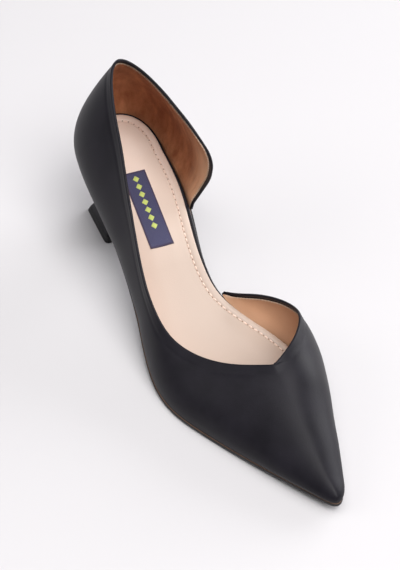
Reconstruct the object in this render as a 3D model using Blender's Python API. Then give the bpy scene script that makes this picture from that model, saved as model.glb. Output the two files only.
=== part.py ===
"""A right-foot pump with a pointed toe, an open inner waist and a low flared heel.

The tables are in millimetres on the last: X runs forward from the back edge of the heel's foot, Y to the
wearer's left (the inner or medial side of a right shoe) and Z up from the floor. Each table has a row for
each section or fold, and splines run through its columns. The meshes are in metres.
"""
import bpy
import numpy as np

MM = 0.001
LATERAL = -1
MEDIAL = 1

# Driving sizes of the last, millimetres
TOE_TIP = 256.4
TOE_ROUND_START = 246.0
HEEL_BACK = -10.5
HEEL_WIDEST = 22.0
HEEL_ROUNDNESS = 2.3
COLLAR_BACK = 9.2
THROAT = 187.7
TOE_DEPTH = 2.4

# Thicknesses and gaps, millimetres
WALL = 1.7
GAP = 0.3
OUTSOLE_THICK = 2.6
OUTSOLE_EDGE_LIFT = 0.5
OUTSOLE_FLAT_SHARE = 0.75
BOARD_THICK = 2.4
SOCK_THICK = 1.2
SOCK_STEP = 0.4
INSOLE_TOE_END = 249.0
OUTSOLE_ACROSS = 9
INSOLE_ACROSS = 7

# Heel, millimetres
BREAST = 46.0
SEAT_INSET = 0.5
LIFT_HIGH = 4.0
HEEL_WAIST_HIGH = 28.0
HEEL_FLARE_POWER = 2.0
HEEL_FOOT_POWER = 0.85

# How fine the meshes are
WALL_ROWS = 11
FAN_STEPS = 9
TOE_STEPS = 7
STEP_LONG = 5.5
COUNTER_STEP = 5.0
INNER_VAMP_STEPS = 20
THROAT_CROWDING = 1.5
TURN_START = 60.0
TURN_LONG = 60.0
CUT_START = 140.0
CUT_FULL = 172.0
CUT_LOWEST = 0.3
HALVINGS = 30
HEEL_RING_SIDE = 11
HEEL_FOOT_LEVELS = 5
HEEL_SEAT_LEVELS = 7
CAP_SHARES = (0.66, 0.33)
SHARP_ANGLE = np.radians(40)

# Feather line, where the upper meets the sole, seen from above
OUTLINE = (
    ("x", "lateral", "medial"),
    (22, -25.4, 22.6),
    (50, -26.6, 23.8),
    (75, -27.0, 21.0),
    (98, -28.2, 18.6),
    (112, -29.6, 20.6),
    (125, -31.6, 28.5),
    (138, -33.2, 37.8),
    (152, -33.6, 44.6),
    (168, -30.8, 47.8),
    (190, -20.4, 43.8),
    (219, -3.8, 35.1),
    (246, 12.5, 27.7),
)
# Height of the feather line along the shoe: seat, waist, ball and toe spring
SEAM = (
    ("x", "z"),
    (-12, 57.2),
    (10, 51.4),
    (33, 44.7),
    (55, 37.9),
    (80, 29.6),
    (100, 21.8),
    (114, 15.4),
    (128, 9.0),
    (141, 4.8),
    (155, 3.0),
    (172, 2.7),
    (190, 2.8),
    (215, 3.8),
    (240, 5.8),
    (258, 7.6),
)
# Crest of the vamp from the throat to the toe
RIDGE = (
    ("x", "y", "z"),
    (187.7, 16.0, 39.5),
    (200, 17.0, 34.6),
    (214, 18.0, 28.9),
    (228, 18.8, 23.2),
    (240, 19.4, 18.4),
    (246, 19.7, 16.2),
)
# Full sections behind the throat, which the top line cuts off: their crest and their slopes beside it
CROWN = (
    ("x", "y", "z", "lateral_shoulder", "lateral_drop", "medial_shoulder", "medial_drop"),
    (140, 38.0, 49.5, 46.0, 0.24, 8.0, 0.10),
    (160, 33.0, 47.4, 39.0, 0.29, 10.0, 0.02),
    (175, 25.0, 44.2, 29.0, 0.27, 13.8, -0.05),
    (187.7, 16.0, 39.5, 17.5, 0.18, 19.0, -0.17),
)
# Top line of the outer side, from the back of the collar to the throat
LATERAL_TOP = (
    ("x", "y", "z"),
    (9.2, 0.3, 110.4),
    (14, -5.4, 109.0),
    (25, -9.9, 105.0),
    (40, -13.5, 95.8),
    (55, -16.0, 86.6),
    (70, -19.1, 76.3),
    (85, -21.8, 64.6),
    (100, -24.2, 52.8),
    (115, -25.8, 42.8),
    (130, -25.4, 35.2),
    (145, -22.0, 30.6),
    (160, -13.6, 29.7),
    (175, 0.1, 33.1),
    (187.7, 16.0, 39.5),
)
# Top line of the inner vamp, from the throat back to the sole
MEDIAL_TOP = (
    ("x", "y", "z"),
    (187.7, 16.0, 39.5),
    (186.6, 19.4, 40.8),
    (180, 29.4, 42.4),
    (170, 38.5, 41.4),
    (160, 43.7, 38.4),
    (150, 45.8, 33.2),
    (140, 44.0, 29.3),
    (132, 39.3, 27.0),
    (125, 33.4, 24.4),
    (118, 27.2, 20.7),
    (111, 22.0, 17.4),
)
# Top line of the inner counter, from the back of the collar to its forward corner
WING_TOP = (
    ("x", "y", "z"),
    (9.2, 0.3, 110.4),
    (14, 6.8, 109.2),
    (20, 10.6, 107.3),
    (30, 14.8, 104.4),
    (40, 17.9, 101.6),
    (50, 20.5, 98.6),
    (58, 22.9, 95.4),
    (66.7, 26.7, 88.0),
)
# Front edge of the inner counter, from just above the sole up to just below that corner
WING_END = 60.5
WING_EDGE = (
    ("x", "y", "z"),
    (60.6, 23.8, 40.0),
    (61.2, 25.1, 43.0),
    (63.3, 27.7, 49.9),
    (66.4, 29.4, 57.3),
    (69.4, 30.1, 64.0),
    (71.1, 30.3, 69.9),
    (71.9, 30.2, 75.1),
    (71.5, 29.5, 80.2),
    (69.7, 28.3, 84.6),
)
WING_PULL_START = 18.0
# How each section swells: the belly stands out above the sole, the shoulder below the top line
SWELL = (
    ("x", "lateral_belly", "lateral_rise", "lateral_shoulder", "lateral_drop",
     "medial_belly", "medial_rise", "medial_shoulder", "medial_drop"),
    (-10.5, 5.0, 0.28, 11.0, 0.28, 5.0, 0.28, 11.0, 0.28),
    (22, 15.5, 0.26, 8.5, 0.34, 15.5, 0.26, 9.0, 0.34),
    (50, 11.0, 0.28, 5.5, 0.34, 12.0, 0.28, 6.0, 0.34),
    (80, 5.0, 0.32, 2.5, 0.34, 4.0, 0.30, 0.5, 0.30),
    (110, 2.0, 0.36, 1.5, 0.28, 1.0, 0.30, 0.5, 0.30),
    (130, 1.0, 0.36, 3.5, 0.22, 6.0, 0.34, 3.0, 0.35),
    (150, 1.5, 0.38, 8.0, 0.12, 10.0, 0.36, 4.0, 0.35),
    (168, 2.5, 0.40, 13.0, 0.03, 11.0, 0.36, 8.0, 0.16),
    (187.7, 4.0, 0.42, 17.5, 0.18, 10.5, 0.46, 19.0, -0.17),
    (204, 5.0, 0.43, 13.5, 0.10, 10.0, 0.47, 14.5, -0.09),
    (219, 6.0, 0.43, 10.0, 0.04, 9.5, 0.47, 10.0, -0.03),
    (246, 4.5, 0.45, 3.0, 0.0, 5.0, 0.45, 3.0, 0.0),
)
# How far a section of the outer quarter leans forward from sole to top line
LEAN = (
    ("x", "ahead"),
    (22, 14.0),
    (50, 9.0),
    (80, 4.0),
    (110, 0.6),
    (130, 0.0),
)
WING_LEAN = 10.0
# Distance from the feather line in to the edge of the insole board
INSET = (
    ("x", "lateral", "medial"),
    (-12, 2.1, 2.1),
    (60, 2.1, 2.1),
    (105, 2.2, 2.1),
    (135, 3.2, 2.2),
    (165, 3.5, 2.5),
    (190, 3.4, 3.0),
    (258, 3.4, 3.2),
)
# How far the outsole's edge stands out from the feather line
OUTSOLE_EDGE = (
    ("x", "lateral", "medial"),
    (46, -0.2, -0.3),
    (72, 0.0, -0.9),
    (92, 0.2, -1.3),
    (112, 0.4, -0.4),
    (135, 0.5, 0.5),
    (258, 0.5, 0.5),
)
# The heel's square sections: foot on the floor, foot at the lift, waist
HEEL_SECTIONS = (
    ("z", "back", "front", "lateral", "medial", "squareness"),
    (0.0, 0.0, 33.5, -21.0, 19.0, 16.0),
    (4.0, 1.5, 32.9, -19.6, 17.7, 16.0),
    (28.0, 11.0, 29.5, -10.6, 10.6, 9.0),
)
SEAT_FRONT_SQUARENESS = 14.0


def columns(table):
    """The named columns of a table, as arrays."""
    rows = np.array(table[1:], float)
    return {name: rows[:, i] for i, name in enumerate(table[0])}


def spline(knots, values):
    """Natural cubic spline through values at knots, as a function of an array."""
    count = len(knots)
    step = np.diff(knots)
    matrix = np.eye(count)
    right = np.zeros(count)
    for i in range(1, count - 1):
        matrix[i, i - 1:i + 2] = step[i - 1], 2*(step[i - 1] + step[i]), step[i]
        right[i] = 6*((values[i + 1] - values[i])/step[i] - (values[i] - values[i - 1])/step[i - 1])
    bend = np.linalg.solve(matrix, right)

    def at(x):
        x = np.clip(x, knots[0], knots[-1])
        j = np.clip(np.searchsorted(knots, x) - 1, 0, count - 2)
        a = (knots[j + 1] - x)/step[j]
        b = (x - knots[j])/step[j]
        curve = (a**3 - a)*bend[j] + (b**3 - b)*bend[j + 1]
        return a*values[j] + b*values[j + 1] + curve*step[j]**2/6

    return at


def splines(table, knots="x", key=None):
    """A spline for each column of a table; key turns the knot column into the spline's parameter."""
    named = columns(table)
    at = named[knots] if key is None else key(named[knots])
    order = np.argsort(at)
    return {name: spline(at[order], values[order]) for name, values in named.items()}


def smooth(v):
    """Soft step from 0 to 1."""
    v = np.clip(v, 0, 1)
    return v*v*(3 - 2*v)


def behind_collar(x):
    """Root of the distance from the back of the collar, so that the top line is round there."""
    return np.sqrt(np.clip(x - COLLAR_BACK, 0, None))


def behind_throat(x):
    """Root of the distance back from the throat's point."""
    return np.sqrt(np.clip(THROAT - x, 0, None))


outline = splines(OUTLINE)
seam = splines(SEAM)["z"]
ridge = splines(RIDGE)
crown = splines(CROWN)
lateral_top = splines(LATERAL_TOP, key=behind_collar)
medial_top = splines(MEDIAL_TOP, key=behind_throat)
wing_top = splines(WING_TOP, key=behind_collar)
swell = splines(SWELL)
lean = splines(LEAN)["ahead"]
inset = splines(INSET)
outsole_edge = splines(OUTSOLE_EDGE)
side_name = {LATERAL: "lateral", MEDIAL: "medial"}


def toe_close(share, value, slope):
    """A size that runs on with its slope from share 0 and closes like a round end at share 1."""
    return np.sqrt(np.clip(1 - share, 0, 1))*(value + (slope + 0.5*value)*share)


def feather(side, x):
    """Plan of the feather line: a superellipse round the heel, the outline table, and a rounded toe."""
    half = 0.5*(outline["medial"](HEEL_WIDEST) - outline["lateral"](HEEL_WIDEST))
    middle = 0.5*(outline["medial"](HEEL_WIDEST) + outline["lateral"](HEEL_WIDEST))
    share = np.clip((HEEL_WIDEST - x)/(HEEL_WIDEST - HEEL_BACK), 0, 1)
    heel = middle + side*half*(1 - share**HEEL_ROUNDNESS)**(1/HEEL_ROUNDNESS)
    body = outline[side_name[side]](x)
    long = TOE_TIP - TOE_ROUND_START
    start = TOE_ROUND_START - np.array([0.0, 1.0])
    half_toe, half_before = 0.5*(outline["medial"](start) - outline["lateral"](start))
    mid_toe, mid_before = 0.5*(outline["medial"](start) + outline["lateral"](start))
    share = np.clip((x - TOE_ROUND_START)/long, 0, 1)
    centre = mid_toe + (mid_toe - mid_before)*long*share*(1 - 0.5*share)
    toe = centre + side*toe_close(share, half_toe, (half_toe - half_before)*long)
    return np.where(x < HEEL_WIDEST, heel, np.where(x > TOE_ROUND_START, toe, body))


def crest(x):
    """Ridge of the vamp, rounding down to the toe's tip."""
    long = TOE_TIP - TOE_ROUND_START
    share = np.clip((x - TOE_ROUND_START)/long, 0, 1)
    tip = seam(TOE_TIP) + TOE_DEPTH
    rise = ridge["z"](TOE_ROUND_START) - tip
    slope = (ridge["z"](TOE_ROUND_START) - ridge["z"](TOE_ROUND_START - 1))*long
    z = np.where(share > 0, tip + toe_close(share, rise, slope), ridge["z"](x))
    centre = 0.5*(feather(MEDIAL, x) + feather(LATERAL, x))
    start = 0.5*(outline["medial"](TOE_ROUND_START) + outline["lateral"](TOE_ROUND_START))
    aside = (ridge["y"](TOE_ROUND_START) - start)*(1 - share)
    y = np.where(share > 0, centre + aside, ridge["y"](x))
    return np.stack([x, y, z], 1)


def feather_points(side, x):
    """Points of the feather line and the level direction that points out of the shoe there."""
    points = np.stack([x, feather(side, x), seam(x)], 1)
    run = np.gradient(points[:, :2], axis=0)
    out = side*np.stack([-run[:, 1], run[:, 0], 0*x], 1)
    out /= np.linalg.norm(out, axis=1)[:, None]
    out[x <= HEEL_BACK] = (-1, 0, 0)
    out[x >= TOE_TIP] = (1, 0, 0)
    return points, out


def section_controls(side, x, top, near_top):
    """The four control points of each section: feather line, belly, shoulder and top."""
    foot, out = feather_points(side, x)
    belly, rise = (swell[f"{side_name[side]}_{part}"](x) for part in ("belly", "rise"))
    shoulder, drop = (near_top[f"{side_name[side]}_{part}"](x) for part in ("shoulder", "drop"))
    high = top[:, 2] - foot[:, 2]
    close = np.sqrt(np.clip((TOE_TIP - x)/(TOE_TIP - TOE_ROUND_START), 0, 1))
    turn = smooth((x - TURN_START)/TURN_LONG)[:, None]
    across = np.array([0.0, side, 0.0])*turn + out*(1 - turn)
    up = np.array([0.0, 0.0, 1.0])
    low = foot + out*(belly*close)[:, None] + up*(rise*high)[:, None]
    near = top + across*(shoulder*close)[:, None] - up*(drop*high)[:, None]
    return foot, low, near, top


def cubic(controls, t):
    """Points of cubic curves, a curve for each row of the controls and of the parameter t."""
    foot, low, near, top = (p[:, None, :] for p in controls)
    t = t[..., None]
    return foot*(1 - t)**3 + 3*low*t*(1 - t)**2 + 3*near*t**2*(1 - t) + top*t**3


def wall(side, x, top):
    """Sections of the upper: cubic curves from feather line to top line, pushed out by belly and shoulder."""
    t = np.linspace(0, 1, WALL_ROWS)[None, :]
    return cubic(section_controls(side, x, top, swell), t)


def cut_wall(side, x, top):
    """Full sections up to the crest, cut off at the top line's reach and drawn up or down to meet it."""
    controls = section_controls(side, x, np.stack([x, crown["y"](x), crown["z"](x)], 1), crown)
    low = np.full_like(x, CUT_LOWEST)
    high = np.ones_like(x)
    for _ in range(HALVINGS):
        middle = 0.5*(low + high)
        beyond = side*(cubic(controls, middle[:, None])[:, 0, 1] - top[:, 1]) > 0
        low = np.where(beyond, middle, low)
        high = np.where(beyond, high, middle)
    share = np.linspace(0, 1, WALL_ROWS)[None, :]
    grid = cubic(controls, share*high[:, None])
    return grid + (top - grid[:, -1])[:, None, :]*(share**2)[..., None]


def waist_wall(side, x, top):
    """Sections behind the throat: drawn up to the top line at the waist, cut from full ones near the throat."""
    drawn = wall(side, x, top)
    share = smooth((x - CUT_START)/(CUT_FULL - CUT_START))[:, None, None]
    return drawn + share*(cut_wall(side, x, top) - drawn)


def heel_fan():
    """Stations round the back of the heel and each one's share of the way forward to the widest place."""
    ahead = 1 - np.cos(np.linspace(0, np.pi/2, FAN_STEPS))**(2/HEEL_ROUNDNESS)
    return HEEL_BACK + (HEEL_WIDEST - HEEL_BACK)*ahead, ahead


def toe_run():
    """Stations that close up towards the tip of the toe."""
    share = np.linspace(0, 1, TOE_STEPS)
    return TOE_TIP - (TOE_TIP - TOE_ROUND_START)*(1 - share)**2


def even(start, end, step=STEP_LONG):
    """Even stations from start to end, both included."""
    return np.linspace(start, end, int(np.ceil((end - start)/step)) + 1)


def vamp_stations():
    """Stations ahead of the throat, the same on both sides."""
    return np.concatenate([even(THROAT, TOE_ROUND_START)[1:], toe_run()[1:]])


def outer_quarter():
    """Lateral wall from the back of the heel to the toe, as a grid of points."""
    fan, ahead = heel_fan()
    body = even(HEEL_WIDEST, THROAT)[1:]
    fan_top = COLLAR_BACK + (HEEL_WIDEST + lean(HEEL_WIDEST) - COLLAR_BACK)*ahead
    top_x = np.concatenate([fan_top, body + lean(body)])
    root = behind_collar(top_x)
    top = np.stack([top_x, lateral_top["y"](root), lateral_top["z"](root)], 1)
    vamp = vamp_stations()
    behind = np.concatenate([fan, body])
    x = np.concatenate([behind, vamp])
    grid = wall(LATERAL, x, np.concatenate([top, crest(vamp)]))
    grid[len(fan):len(behind)] = waist_wall(LATERAL, behind, top)[len(fan):]
    return grid


def inner_vamp():
    """Medial wall from the end of the open waist to the toe."""
    first = MEDIAL_TOP[-1][0]
    body = THROAT - (THROAT - first)*np.linspace(1, 0, INNER_VAMP_STEPS)**THROAT_CROWDING
    root = behind_throat(body)
    top = np.stack([body, medial_top["y"](root), medial_top["z"](root)], 1)
    ahead = vamp_stations()
    x = np.concatenate([body, ahead])
    grid = wall(MEDIAL, x, np.concatenate([top, crest(ahead)]))
    grid[:len(body)] = waist_wall(MEDIAL, body, top)
    return grid


def inner_counter():
    """Medial wall of the heel; its last column is the wing's front edge, which pulls the others forward."""
    fan, ahead = heel_fan()
    body = even(HEEL_WIDEST, WING_END, COUNTER_STEP)[1:]
    corner = np.array(WING_TOP[-1])
    first = HEEL_WIDEST + WING_LEAN
    fan_top = COLLAR_BACK + (first - COLLAR_BACK)*ahead
    body_top = first + (body - HEEL_WIDEST)*(corner[0] - first)/(WING_END - HEEL_WIDEST)
    top_x = np.concatenate([fan_top, body_top])
    root = behind_collar(top_x)
    top = np.stack([top_x, wing_top["y"](root), wing_top["z"](root)], 1)
    x = np.concatenate([fan, body])
    grid = wall(MEDIAL, x, top)
    edge = np.vstack([grid[-1, :1], np.array(WING_EDGE[1:], float), corner[None]])
    along = np.concatenate([[0], np.cumsum(np.linalg.norm(np.diff(edge, axis=0), axis=1))])
    share = np.linspace(0, along[-1], WALL_ROWS)
    edge = np.stack([spline(along, edge[:, k])(share) for k in range(3)], 1)
    pull = smooth((x - WING_PULL_START)/(WING_END - WING_PULL_START))
    return grid + pull[:, None, None]*(edge - grid[-1])[None]


def grid_faces(rows, cols, first=0, flip=False):
    """Quads of a grid of points numbered row by row."""
    number = first + np.arange(rows*cols).reshape(rows, cols)
    quads = np.stack([number[:-1, :-1], number[1:, :-1], number[1:, 1:], number[:-1, 1:]], -1).reshape(-1, 4)
    return quads[:, ::-1] if flip else quads


def weld(points, quads):
    """One point for each place, and quads as lists without repeated corners."""
    _, keep, place = np.unique(np.round(points, 3), axis=0, return_index=True, return_inverse=True)
    faces = [list(dict.fromkeys(face)) for face in place.reshape(-1)[quads].tolist()]
    return points[keep], [face for face in faces if len(face) > 2]


def thicken(points, faces, depth):
    """A closed wall: the outer faces, the same faces moved in along the normals, and a rim between them."""
    normal = np.zeros_like(points)
    for face in faces:
        corner = points[face]
        spokes = corner[1:] - corner[0]
        area = np.cross(spokes[:-1], spokes[1:]).sum(0)
        normal[face] += area
    normal /= np.linalg.norm(normal, axis=1)[:, None]
    inner = points - normal*depth
    foot = np.isclose(points[:, 2], seam(points[:, 0]), atol=1e-6)
    inner[foot, 2] = seam(inner[foot, 0])
    count = len(points)
    used = {(face[k - 1], face[k]) for face in faces for k in range(len(face))}
    rim = [[b, a, a + count, b + count] for a, b in sorted(used) if (b, a) not in used]
    inside = [[k + count for k in reversed(face)] for face in faces]
    return np.vstack([points, inner]), faces + inside + rim


def upper_shape():
    """The whole upper: outer quarter, inner vamp and inner counter welded into one hollow wall."""
    points = []
    quads = []
    first = 0
    for grid, flip in ((outer_quarter(), False), (inner_vamp(), True), (inner_counter(), True)):
        rows, cols = grid.shape[:2]
        points.append(grid.reshape(-1, 3))
        quads.append(grid_faces(rows, cols, first, flip))
        first += rows*cols
    return thicken(*weld(np.vstack(points), np.vstack(quads)), WALL)


def plate(x, out_lateral, out_medial, top, bottom, across):
    """A sole layer: both feather lines moved out by the given amounts, joined by straight lines across."""
    edges = []
    for side, out in ((LATERAL, out_lateral), (MEDIAL, out_medial)):
        points, away = feather_points(side, x)
        edges.append((points + away*np.reshape(out, (-1, 1)))[:, None, :2])
    share = np.linspace(0, 1, across)[None, :, None]
    plan = edges[0]*(1 - share) + edges[1]*share
    edge = np.broadcast_to(np.abs(2*share[..., 0] - 1), plan.shape[:2])
    upper = np.dstack([plan, top(plan[..., 0])])
    lower = np.dstack([plan, bottom(plan[..., 0], edge)])
    rows = len(x)
    half = rows*across
    number = np.arange(half).reshape(rows, across)
    loop = np.concatenate([number[0, :-1], number[:-1, -1], number[-1, :0:-1], number[:0:-1, 0]])
    after = np.roll(loop, -1)
    side_quads = np.stack([after, loop, loop + half, after + half], 1)
    quads = np.vstack([grid_faces(rows, across), grid_faces(rows, across, half, True), side_quads[:, ::-1]])
    return weld(np.vstack([upper.reshape(-1, 3), lower.reshape(-1, 3)]), quads)


def outsole_shape():
    """Outsole from the heel's breast to the toe, flat on the floor under the ball."""
    x = np.concatenate([even(BREAST + GAP, THROAT), vamp_stations()])

    def top(at):
        return seam(at) - GAP

    def bottom(at, edge):
        turned = smooth((edge - OUTSOLE_FLAT_SHARE)/(1 - OUTSOLE_FLAT_SHARE))
        return np.maximum(seam(at) - GAP - OUTSOLE_THICK, 0) + OUTSOLE_EDGE_LIFT*turned

    return plate(x, outsole_edge["lateral"](x), outsole_edge["medial"](x), top, bottom, OUTSOLE_ACROSS)


def insole_stations():
    """Stations of the insole's layers, from the back of the heel to their blunt toe end."""
    return np.concatenate([heel_fan()[0], even(HEEL_WIDEST, INSOLE_TOE_END)[1:]])


def board_shape():
    """Insole board, lying on the outsole and the heel's seat inside the upper."""
    x = insole_stations()
    return plate(x, -inset["lateral"](x), -inset["medial"](x), lambda at: seam(at) + BOARD_THICK,
                 lambda at, edge: seam(at), INSOLE_ACROSS)


def sock_shape():
    """Sock of the insole, a leather sheet over the board."""
    x = insole_stations()
    low = BOARD_THICK + GAP
    return plate(x, -inset["lateral"](x) - SOCK_STEP, -inset["medial"](x) - SOCK_STEP,
                 lambda at: seam(at) + low + SOCK_THICK, lambda at, edge: seam(at) + low, INSOLE_ACROSS)


def unit_square_ring():
    """Directions round a square, from its middle, even along each side."""
    along = np.linspace(-1, 1, HEEL_RING_SIDE)[:-1]
    one = np.ones_like(along)
    return np.concatenate([np.stack(side, 1) for side in
                           ((along, -one), (one, along), (-along, one), (-one, -along))])


def ring(back, front, lateral, medial, square_front, square_back, pivot):
    """A rounded square round the pivot: points of equal power norm, scaled to the four reaches."""
    way = unit_square_ring()
    power = np.where(way[:, 0] > 0, square_front, square_back)
    size = (np.abs(way[:, 0])**power + np.abs(way[:, 1])**power)**(1/power)
    way = way/size[:, None]
    x = pivot + np.where(way[:, 0] > 0, way[:, 0]*(front - pivot), way[:, 0]*(pivot - back))
    y = np.where(way[:, 1] > 0, way[:, 1]*medial, -way[:, 1]*lateral)
    return np.stack([x, y], 1)


def seat_ring():
    """The heel's seat: the feather line of the heel, cut off straight at the breast."""
    pivot = HEEL_WIDEST
    flat = ring(HEEL_BACK + SEAT_INSET, BREAST, -1.0, 1.0, SEAT_FRONT_SQUARENESS, HEEL_ROUNDNESS, pivot)
    middle = 0.5*(outline["medial"](pivot) + outline["lateral"](pivot))
    reach = np.where(flat[:, 1] > 0, outline["medial"](flat[:, 0]) - SEAT_INSET - middle,
                     middle - outline["lateral"](flat[:, 0]) - SEAT_INSET)
    return np.stack([flat[:, 0], middle + flat[:, 1]*reach], 1)


def heel_section(z):
    """Square section of the heel's lower half at a height."""
    named = columns(HEEL_SECTIONS)
    share = (z - LIFT_HIGH)/(HEEL_WAIST_HIGH - LIFT_HIGH)
    bent = LIFT_HIGH + (HEEL_WAIST_HIGH - LIFT_HIGH)*np.sign(share)*abs(share)**HEEL_FOOT_POWER
    back, front, lateral, medial, power = (np.interp(bent if share > 0 else z, named["z"], named[name])
                                           for name in ("back", "front", "lateral", "medial", "squareness"))
    flat = ring(back, front, lateral, medial, power, power, 0.5*(back + front))
    return np.column_stack([flat, np.full(len(flat), z)])


def capped_rings(rings, fill_top):
    """Faces over a stack of equal rings, lowest first; the bottom is flat, fill_top gives the top's height."""
    stack = list(rings)
    centre = stack[-1][:, :2].mean(0)
    for share in CAP_SHARES:
        flat = centre + (stack[len(rings) - 1][:, :2] - centre)*share
        stack.append(np.column_stack([flat, fill_top(flat[:, 0])]))
    count = len(stack[0])
    points = np.vstack(stack + [np.append(centre, fill_top(centre[0]))[None]])
    faces = [list(range(count))[::-1]]
    for level in range(len(stack) - 1):
        for k in range(count):
            after = (k + 1) % count
            low = level*count
            faces.append([low + k, low + after, low + count + after, low + count + k])
    last = (len(stack) - 1)*count
    faces += [[last + k, last + (k + 1) % count, len(points) - 1] for k in range(count)]
    return points, faces


def heel_shape():
    """Heel: a square foot that narrows to its waist and opens again to the whole seat."""
    rings = [heel_section(z) for z in np.linspace(LIFT_HIGH + GAP, HEEL_WAIST_HIGH, HEEL_FOOT_LEVELS)]
    waist = rings[-1]
    seat = seat_ring()
    seat = np.column_stack([seat, seam(seat[:, 0]) - GAP])
    for share in np.linspace(0, 1, HEEL_SEAT_LEVELS)[1:]:
        flat = waist[:, :2] + (seat[:, :2] - waist[:, :2])*share**HEEL_FLARE_POWER
        rings.append(np.column_stack([flat, waist[:, 2] + (seat[:, 2] - waist[:, 2])*share]))
    return capped_rings(rings, lambda x: seam(x) - GAP)


def lift_shape():
    """Top piece under the heel's foot, flat on the floor."""
    rings = [heel_section(z) for z in (0.0, LIFT_HIGH)]
    return capped_rings(rings, lambda x: np.full_like(x, LIFT_HIGH))


def leather(name, colour, roughness):
    """A plain principled material."""
    material = bpy.data.materials.new(name)
    material.use_nodes = True
    shader = material.node_tree.nodes["Principled BSDF"]
    shader.inputs["Base Color"].default_value = (*colour, 1.0)
    shader.inputs["Roughness"].default_value = roughness
    shader.inputs["Metallic"].default_value = 0.0
    return material


def add_piece(name, shape, material, parent):
    """A named object from points in millimetres and faces."""
    points, faces = shape
    mesh = bpy.data.meshes.new(name)
    mesh.from_pydata((points*MM).tolist(), [], faces)
    mesh.shade_smooth()
    mesh.set_sharp_from_angle(angle=SHARP_ANGLE)
    mesh.materials.append(material)
    piece = bpy.data.objects.new(name, mesh)
    piece.parent = parent
    bpy.context.scene.collection.objects.link(piece)
    return piece


def main():
    """Clears the scene and builds the shoe with its origin under the middle of its box."""
    for thing in list(bpy.data.objects):
        bpy.data.objects.remove(thing, do_unlink=True)
    black = (0.018, 0.018, 0.022)
    pieces = (
        ("upper", upper_shape(), leather("upper_leather", black, 0.45)),
        ("outsole", outsole_shape(), leather("outsole_rubber", (0.012, 0.012, 0.013), 0.6)),
        ("insole_board", board_shape(), leather("board_wrap", (0.012, 0.012, 0.014), 0.35)),
        ("insole_sock", sock_shape(), leather("sock_leather", (0.74, 0.56, 0.45), 0.5)),
        ("heel", heel_shape(), leather("heel_leather", black, 0.4)),
        ("heel_lift", lift_shape(), leather("lift_rubber", (0.01, 0.01, 0.011), 0.7)),
    )
    every = np.vstack([shape[0] for _, shape, _ in pieces])
    middle = 0.5*(every.min(0) + every.max(0))
    shoe = bpy.data.objects.new("shoe", None)
    shoe.location = (-middle[0]*MM, -middle[1]*MM, 0.0)
    bpy.context.scene.collection.objects.link(shoe)
    for name, shape, material in pieces:
        add_piece(name, shape, material, shoe)
    bpy.context.view_layer.update()


main()
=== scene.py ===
"""Looks of a right-foot pump with a pointed toe, an open inner waist and a low flared heel.

Shapes are worked out in millimetres on the last: X runs forward from the back edge of the heel's foot,
Y to the wearer's left (the inner or medial side) and Z up from the floor. The heel's lift places them in
the frame.
"""
import bpy
import numpy as np
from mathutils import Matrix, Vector


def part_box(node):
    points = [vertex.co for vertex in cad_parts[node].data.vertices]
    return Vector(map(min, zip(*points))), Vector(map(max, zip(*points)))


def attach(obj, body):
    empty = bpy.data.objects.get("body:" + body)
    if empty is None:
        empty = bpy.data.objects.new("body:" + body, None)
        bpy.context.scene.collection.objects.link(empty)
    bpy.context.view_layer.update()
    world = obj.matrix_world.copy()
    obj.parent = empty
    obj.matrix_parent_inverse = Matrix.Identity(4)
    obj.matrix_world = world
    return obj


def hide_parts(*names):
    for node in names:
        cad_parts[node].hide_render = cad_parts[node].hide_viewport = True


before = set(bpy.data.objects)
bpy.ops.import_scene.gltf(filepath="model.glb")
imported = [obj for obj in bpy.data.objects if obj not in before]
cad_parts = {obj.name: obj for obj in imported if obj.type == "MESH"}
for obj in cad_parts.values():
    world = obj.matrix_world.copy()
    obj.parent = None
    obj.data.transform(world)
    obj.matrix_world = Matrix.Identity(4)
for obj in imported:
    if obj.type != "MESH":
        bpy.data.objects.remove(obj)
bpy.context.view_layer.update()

MM = 0.001
LATERAL = -1
MEDIAL = 1

# Driving sizes of the last, millimetres
TOE_TIP = 256.4
TOE_ROUND_START = 246.0
TOE_LONG = TOE_TIP - TOE_ROUND_START
HEEL_BACK = -10.5
HEEL_WIDEST = 22.0
HEEL_ROUNDNESS = 2.3
COLLAR_BACK = 9.2
THROAT = 187.7
TOE_DEPTH = 2.4
TURN_START = 60.0
TURN_LONG = 60.0
CUT_START = 140.0
CUT_FULL = 172.0
CUT_LOWEST = 0.3
HALVINGS = 30
EASE_WIDE = 7.0
EASE_LONG = 16.0
EASE_TOP = 0.12
EASE_LEAST = 0.05

# Leather of the upper, its fold and its seam lines, millimetres
LEATHER = 1.1
EDGE_SWELL = 0.2
EDGE_SWELL_WIDE = 1.5
FOOT_EDGE = 0.2
FOOT_UPRIGHT = 4.0
FOOT_NEAR = 1e-3
BAND_AT = 4.8
BAND_WIDE = 1.2
BAND_DEEP = 0.17
INSIDE_SEAM_AT = 1.5
INSIDE_SEAM_WIDE = 0.4
INSIDE_SEAM_DEEP = 0.22
RIM_PITCH = 0.3
LEAST_MITRE = 0.6

# Facing, linings and their stitches, millimetres; a share where the name says so
FACING_WIDE = 2.6
FACING_COLLAR = 3.8
FACING_COLLAR_SHARE = 0.3
FACING_FRONT = 1.7
FACING_LOW = 0.9
FACING_FRONT_SHARE = 0.75
LINING_BACK = 1.12
LINING_SEAM = 84.0
LINING_FOOT = 0.3
LEAST_LINING_SHARE = 0.6
SUEDE_FRONT = 1.72
SMOOTH_FRONT = 1.55
CUT_PALE_WIDE = 0.8
CUT_PALE_LOWEST = 1.0
# Painted highlight on the inner wing's suede, where light from the front falls: strength, start, length, top
# and fade height
PAINTED_HIGHLIGHT_SHARE = 0.95
PAINTED_HIGHLIGHT_START = 42
PAINTED_HIGHLIGHT_LONG = 26
PAINTED_HIGHLIGHT_TOP = 95
PAINTED_HIGHLIGHT_HIGH = 40
STITCH_PITCH = 1.9
STITCH_INSIDE = 0.3
STITCH_SINK = 0.1
STITCH_LOWEST = 3.0
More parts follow.
